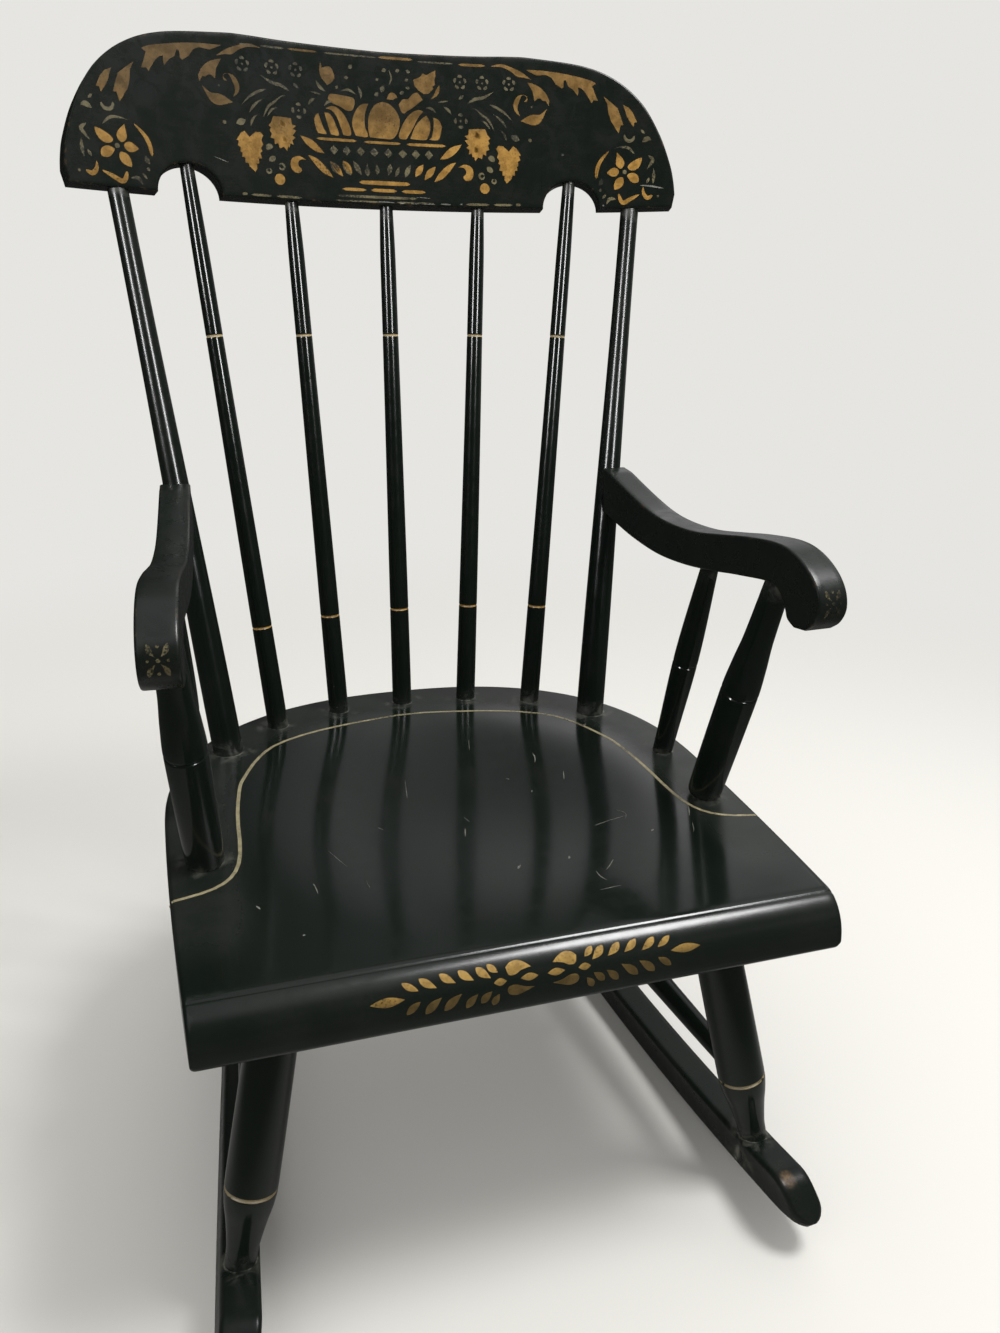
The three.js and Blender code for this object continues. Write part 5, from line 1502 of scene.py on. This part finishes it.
# Nicks in the coat, each a path and a width. The crest's dashes along its lower edge are pale scuffs that
# also paint the highlight on the edge's round
nicksAndGleams = {
    "seat": [
        ([(84, -87), (82, -93), (80, -99)], 0.8), ([(72, -55), (71.5, -62), (69, -69)], 0.8),
        ([(-26, -68), (-28, -80), (-30, -93)], 0.5), ([(13, -198), (16, -194)], 1.4),
        ([(46, -197), (47.4, -193.6)], 1.4), ([(123.5, -23.5), (128, -20.5)], 1.5),
        ([(107, -182.4), (109.6, -180.8)], 1.3), ([(76, -164), (86, -161.5), (100, -159)], 0.5),
        ([(97, -150), (101, -156), (98, -163)], 0.4), ([(-139, -199), (-137, -203)], 1.0),
        ([(-118, -233), (-116.6, -232.6)], 1.1), ([(-106, -184), (-105, -190), (-104.6, -197)], 0.6),
        ([(145, -158), (142, -166), (139, -172)], 0.8), ([(137, -180), (134, -188), (132, -191)], 0.4),
        ([(53, -108), (54.5, -105)], 0.8), ([(42, -84), (44.6, -86)], 0.7),
        ([(62, -216), (66, -212), (71, -206)], 0.4), ([(56, -215), (56, -221), (58, -226)], 0.4),
        ([(50, -235), (64, -234)], 0.3), ([(-57, -127), (-54, -131)], 0.5),
        ([(-76, -188), (-75.4, -198)], 0.4), ([(-3, -140), (-6, -151)], 0.5), ([(33, -22), (29, -38)], 0.3),
        ([(0, -126), (2, -133)], 0.3), ([(-92, -150), (-84, -171)], 0.3)],
    # Dashes along the lower edge: pale scuffs, and painted highlight of the round below them
    "crest": [
        ([(-9, 1.9), (-2, 2.1), (5, 1.8)], 0.7), ([(8, 1.6), (12, 1.7)], 0.9),
        ([(16.6, 1.7), (19, 2), (22.4, 1.8)], 1.2), ([(24, 1.6), (29, 1.8), (34, 1.6)], 0.7),
        ([(38, 2), (41, 1.9), (45.6, 1.7)], 0.9), ([(20, 5.9), (26, 5.8), (31, 5.4)], 0.4),
        ([(52.6, 2.2), (54, 2)], 1.0), ([(-31, 1.8), (-26, 1.9), (-20, 1.7)], 0.5),
        ([(186, 15.4), (194, 14.8), (204, 13)], 1.1), ([(-118, 24), (-108, 21)], 0.4),
        ([(128, 36), (130, 36.4)], 1.6), ([(158, 1.9), (159.2, 2)], 1.2)],
}
for which, place, slot in (("seat", onSeat, "seat_lacquer"), ("crest", onCrestFace, "board_lacquer")):
    lines = [stroke(line, width, blunt=film["nickAndGleamBlunt"], count=film["nickAndGleamSteps"])
             for line, width in nicksAndGleams[which]]
    paint(which + "_nicks_and_gleams", lines, place, paleScratchAndGleam, slot)


def onScroll(sign):
    # Across the arm and up the front of its scroll: the top edge's curve, run from its lower end
    line = armEdges(sign)[1][::-1]
    along, run, spot = directions(line), lengthAlong(line), onArm(sign)

    def place(x, up, lift):
        at = [np.interp(up, run, part) for part in (line[:, 0], line[:, 1], along[:, 1], -along[:, 0])]
        return spot(at[0] + at[2] * lift, at[1] + at[3] * lift, x)
    return place


# Four small leaves and dots on each scroll, all but rubbed away
scrollPainting = {
    "up": 22,
    "leaf": [(1.2, 1.6), (3.4, 4.2), (4.6, 8)],
    "leafWidth": 2.6,
    "dots": [(0, 0, 1), (-4.6, 0, 0.7), (4.6, 0, 0.7), (0, 6.6, 0.8), (0, -6.4, 0.8)],
}
spray = [stroke([(a * x, scrollPainting["up"] + b * y) for x, y in scrollPainting["leaf"]],
                scrollPainting["leafWidth"], 0.6) for a in (-1, 1) for b in (-1, 1)]
spray += [dot(x, scrollPainting["up"] + y, radius) for x, y, radius in scrollPainting["dots"]]
for side, sign in sides.items():
    paint("arm_stencil_" + side, spray, onScroll(sign), fadedBronze, "board_lacquer")

stripePath = np.array(pinstripe["path"], float)
stripePath = np.concatenate([stripePath, stripePath[-2::-1] * [-1, 1]])
stripe = stroke(stripePath, pinstripe["width"], blunt=pinstripe["blunt"], count=pinstripe["count"])
paint("seat_pinstripe", [stripe], onSeat, pinstripePaint, "seat_lacquer")
print("painting done")


# Camera, light and floor

view = {
    "place": (-164.45, -698.96, 333.99),
    "right": (0.95326, -0.30127, 0.02291),
    "down": (-0.08961, -0.35433, -0.93082),
    "forward": (0.28855, 0.88526, -0.36476),
    "lens": 28.115,
    "sensor": 36.0,
    "nearest": 0.02,
}
camera = bpy.data.objects.new("camera", bpy.data.cameras.new("camera"))
scene.collection.objects.link(camera)
camera.data.lens = view["lens"]
camera.data.sensor_width = view["sensor"]
camera.data.sensor_fit = "AUTO"
camera.data.clip_start = view["nearest"]
stand = np.eye(4)
stand[:3, :3] = np.array([view["right"], [-d for d in view["down"]], [-f for f in view["forward"]]]).T
stand[:3, 3] = np.array(view["place"]) * mm + seatOrigin
camera.matrix_world = Matrix(stand.tolist())
scene.camera = camera

studio = {
    "backdrop": "#e6e5e1",
    "floorColour": "#d8d6d0",
    "floorRoughness": 0.9,
    "floorRadius": 6.0,
    "floorSides": 64,
    "clearRadius": (0.55, 1.5),  # past the first the floor fades into the backdrop's colour
    "mirrorRadius": (0.25, 0.6),
    "mirrorLevel": (0.55, 0.97),  # how much of the floor is lost in the lacquer, near and far
    "lamps": {  # place, what it faces, width, height, power
        "key": ((0.72, -0.51, 1.88), (0, -0.1, 0.3), 0.55, 0.55, 26),
        "fill": ((-1.1, -1.2, 1.7), (0, 0, 0.3), 1.4, 1.4, 2.5),
        "leftStrip": ((-1.0, -0.61, 0.94), (0, 0.05, 0.5), 0.2, 0.56, 16),
        "rightStrip": ((0.42, -1.07, 0.94), (0, 0.05, 0.5), 0.2, 0.56, 16),
    },
    "strips": ("leftStrip", "rightStrip"),  # they only put a gleam down the turned pieces
    "level": 0.85,  # of the plain light all round
    # What the lacquer mirrors: grey cloth behind the chair, brightest a little above it and to the right, a
    # dark room before it and a dim ceiling. Each is a direction, its range and the levels at its ends.
    "mirror": [("Y", -0.3, 0.3, 0.05, 0.3), ("Z", 0.25, 0.4, 0.55, 1.9), ("Z", 0.4, 0.6, 1.0, 0.45),
               ("X", -0.02, 0.45, 0.06, 1.75)],
    "ceiling": (0.6, 0.9, 0.0, 0.45),
    "folds": (0.35, 0.65, 0.35, 1.5),
    "foldSize": 0.22,
    "foldStretch": (1, 0.4, 0.25),
}
turned = bpy.data.collections.new("turned_pieces")
for item in scene.objects:
    if item.type == "MESH" and turningLacquer.name in item.data.materials:
        turned.objects.link(item)
for name, (place, target, width, height, power) in studio["lamps"].items():
    lamp = bpy.data.lights.new(name, "AREA")
    lamp.shape, lamp.size, lamp.size_y, lamp.energy = "RECTANGLE", width, height, power
    holder = bpy.data.objects.new(name, lamp)
    holder.location = place
    holder.rotation_euler = (Vector(target) - Vector(place)).to_track_quat("-Z", "Y").to_euler()
    holder.visible_camera = False
    if name in studio["strips"]:
        holder.visible_diffuse = False
        holder.light_linking.receiver_collection = turned
    scene.collection.objects.link(holder)

world = bpy.data.worlds.new("studio")
scene.world = world
world.use_nodes = True
add = partial(addNode, world.node_tree)
towards = add("TexCoord", out="Generated")
placed = add("Mapping", {"Vector": towards, "Scale": studio["foldStretch"]})
folds = add("TexNoise", {"Vector": placed, "Scale": 1 / studio["foldSize"], "Detail": 3, "Roughness": 0.5,
                         "Distortion": 0.6})
mirror = add("MapRange", [folds, *studio["folds"]], **smooth)
for axis, *levels in studio["mirror"]:
    share = add("MapRange", [add("SeparateXYZ", [towards], out=axis), *levels], **smooth)
    mirror = add("Math", [mirror, share], **times)
ceiling = add("MapRange", [add("SeparateXYZ", [towards], out="Z"), *studio["ceiling"]], **smooth)
mirror = add("Math", [mirror, ceiling], **plus)
level = add("Mix", {0: add("LightPath", out="Is Glossy Ray"), 2: studio["level"], 3: mirror})
grey = add("CombineColor", [level, level, level])
sky = add("Mix", {0: add("LightPath", out="Is Camera Ray"), 6: grey, 7: studio["backdrop"]}, **blend)
fillInputs(world.node_tree.nodes["Background"], {"Color": sky})

# The lacquer mirrors the cloth near the chair only, and greyer than it is
floorMaterial, add, where, _ = newMaterial("pale_cloth_floor", [])
distance = add("VectorMath", [where], "Value", operation="LENGTH")
lost = add("MapRange", [distance, *studio["mirrorRadius"], *studio["mirrorLevel"]], **smooth)
lost = add("Math", [lost, add("LightPath", out="Is Glossy Ray")], **times)
colour = add("Mix", {0: lost, 6: studio["floorColour"], 7: "#000000"}, **blend)
shader = floorMaterial.node_tree.nodes["Principled BSDF"]
fillInputs(shader, {"Base Color": colour, "Roughness": studio["floorRoughness"]})
fade = add("MapRange", [distance, *studio["clearRadius"]], **smooth)
fade = add("Math", [fade, add("LightPath", out="Is Camera Ray")], **times)
clear = add("Emission", {"Color": studio["backdrop"], "Strength": 1.0})
surface = add("MixShader", [fade, shader.outputs[0], clear])
fillInputs(floorMaterial.node_tree.nodes["Material Output"], {"Surface": surface})
turn = np.linspace(0, 2 * np.pi, studio["floorSides"], endpoint=False)
rim = studio["floorRadius"] * np.stack([np.cos(turn), np.sin(turn), 0 * turn], 1)
floorMesh = bpy.data.meshes.new("floor")
floorMesh.from_pydata(rim.tolist(), [], [list(range(len(rim)))])
floorMesh.materials.append(floorMaterial)
floor = bpy.data.objects.new("floor", floorMesh)
scene.collection.objects.link(floor)
scene.view_settings.view_transform = "Standard"
print("camera, light and floor placed")
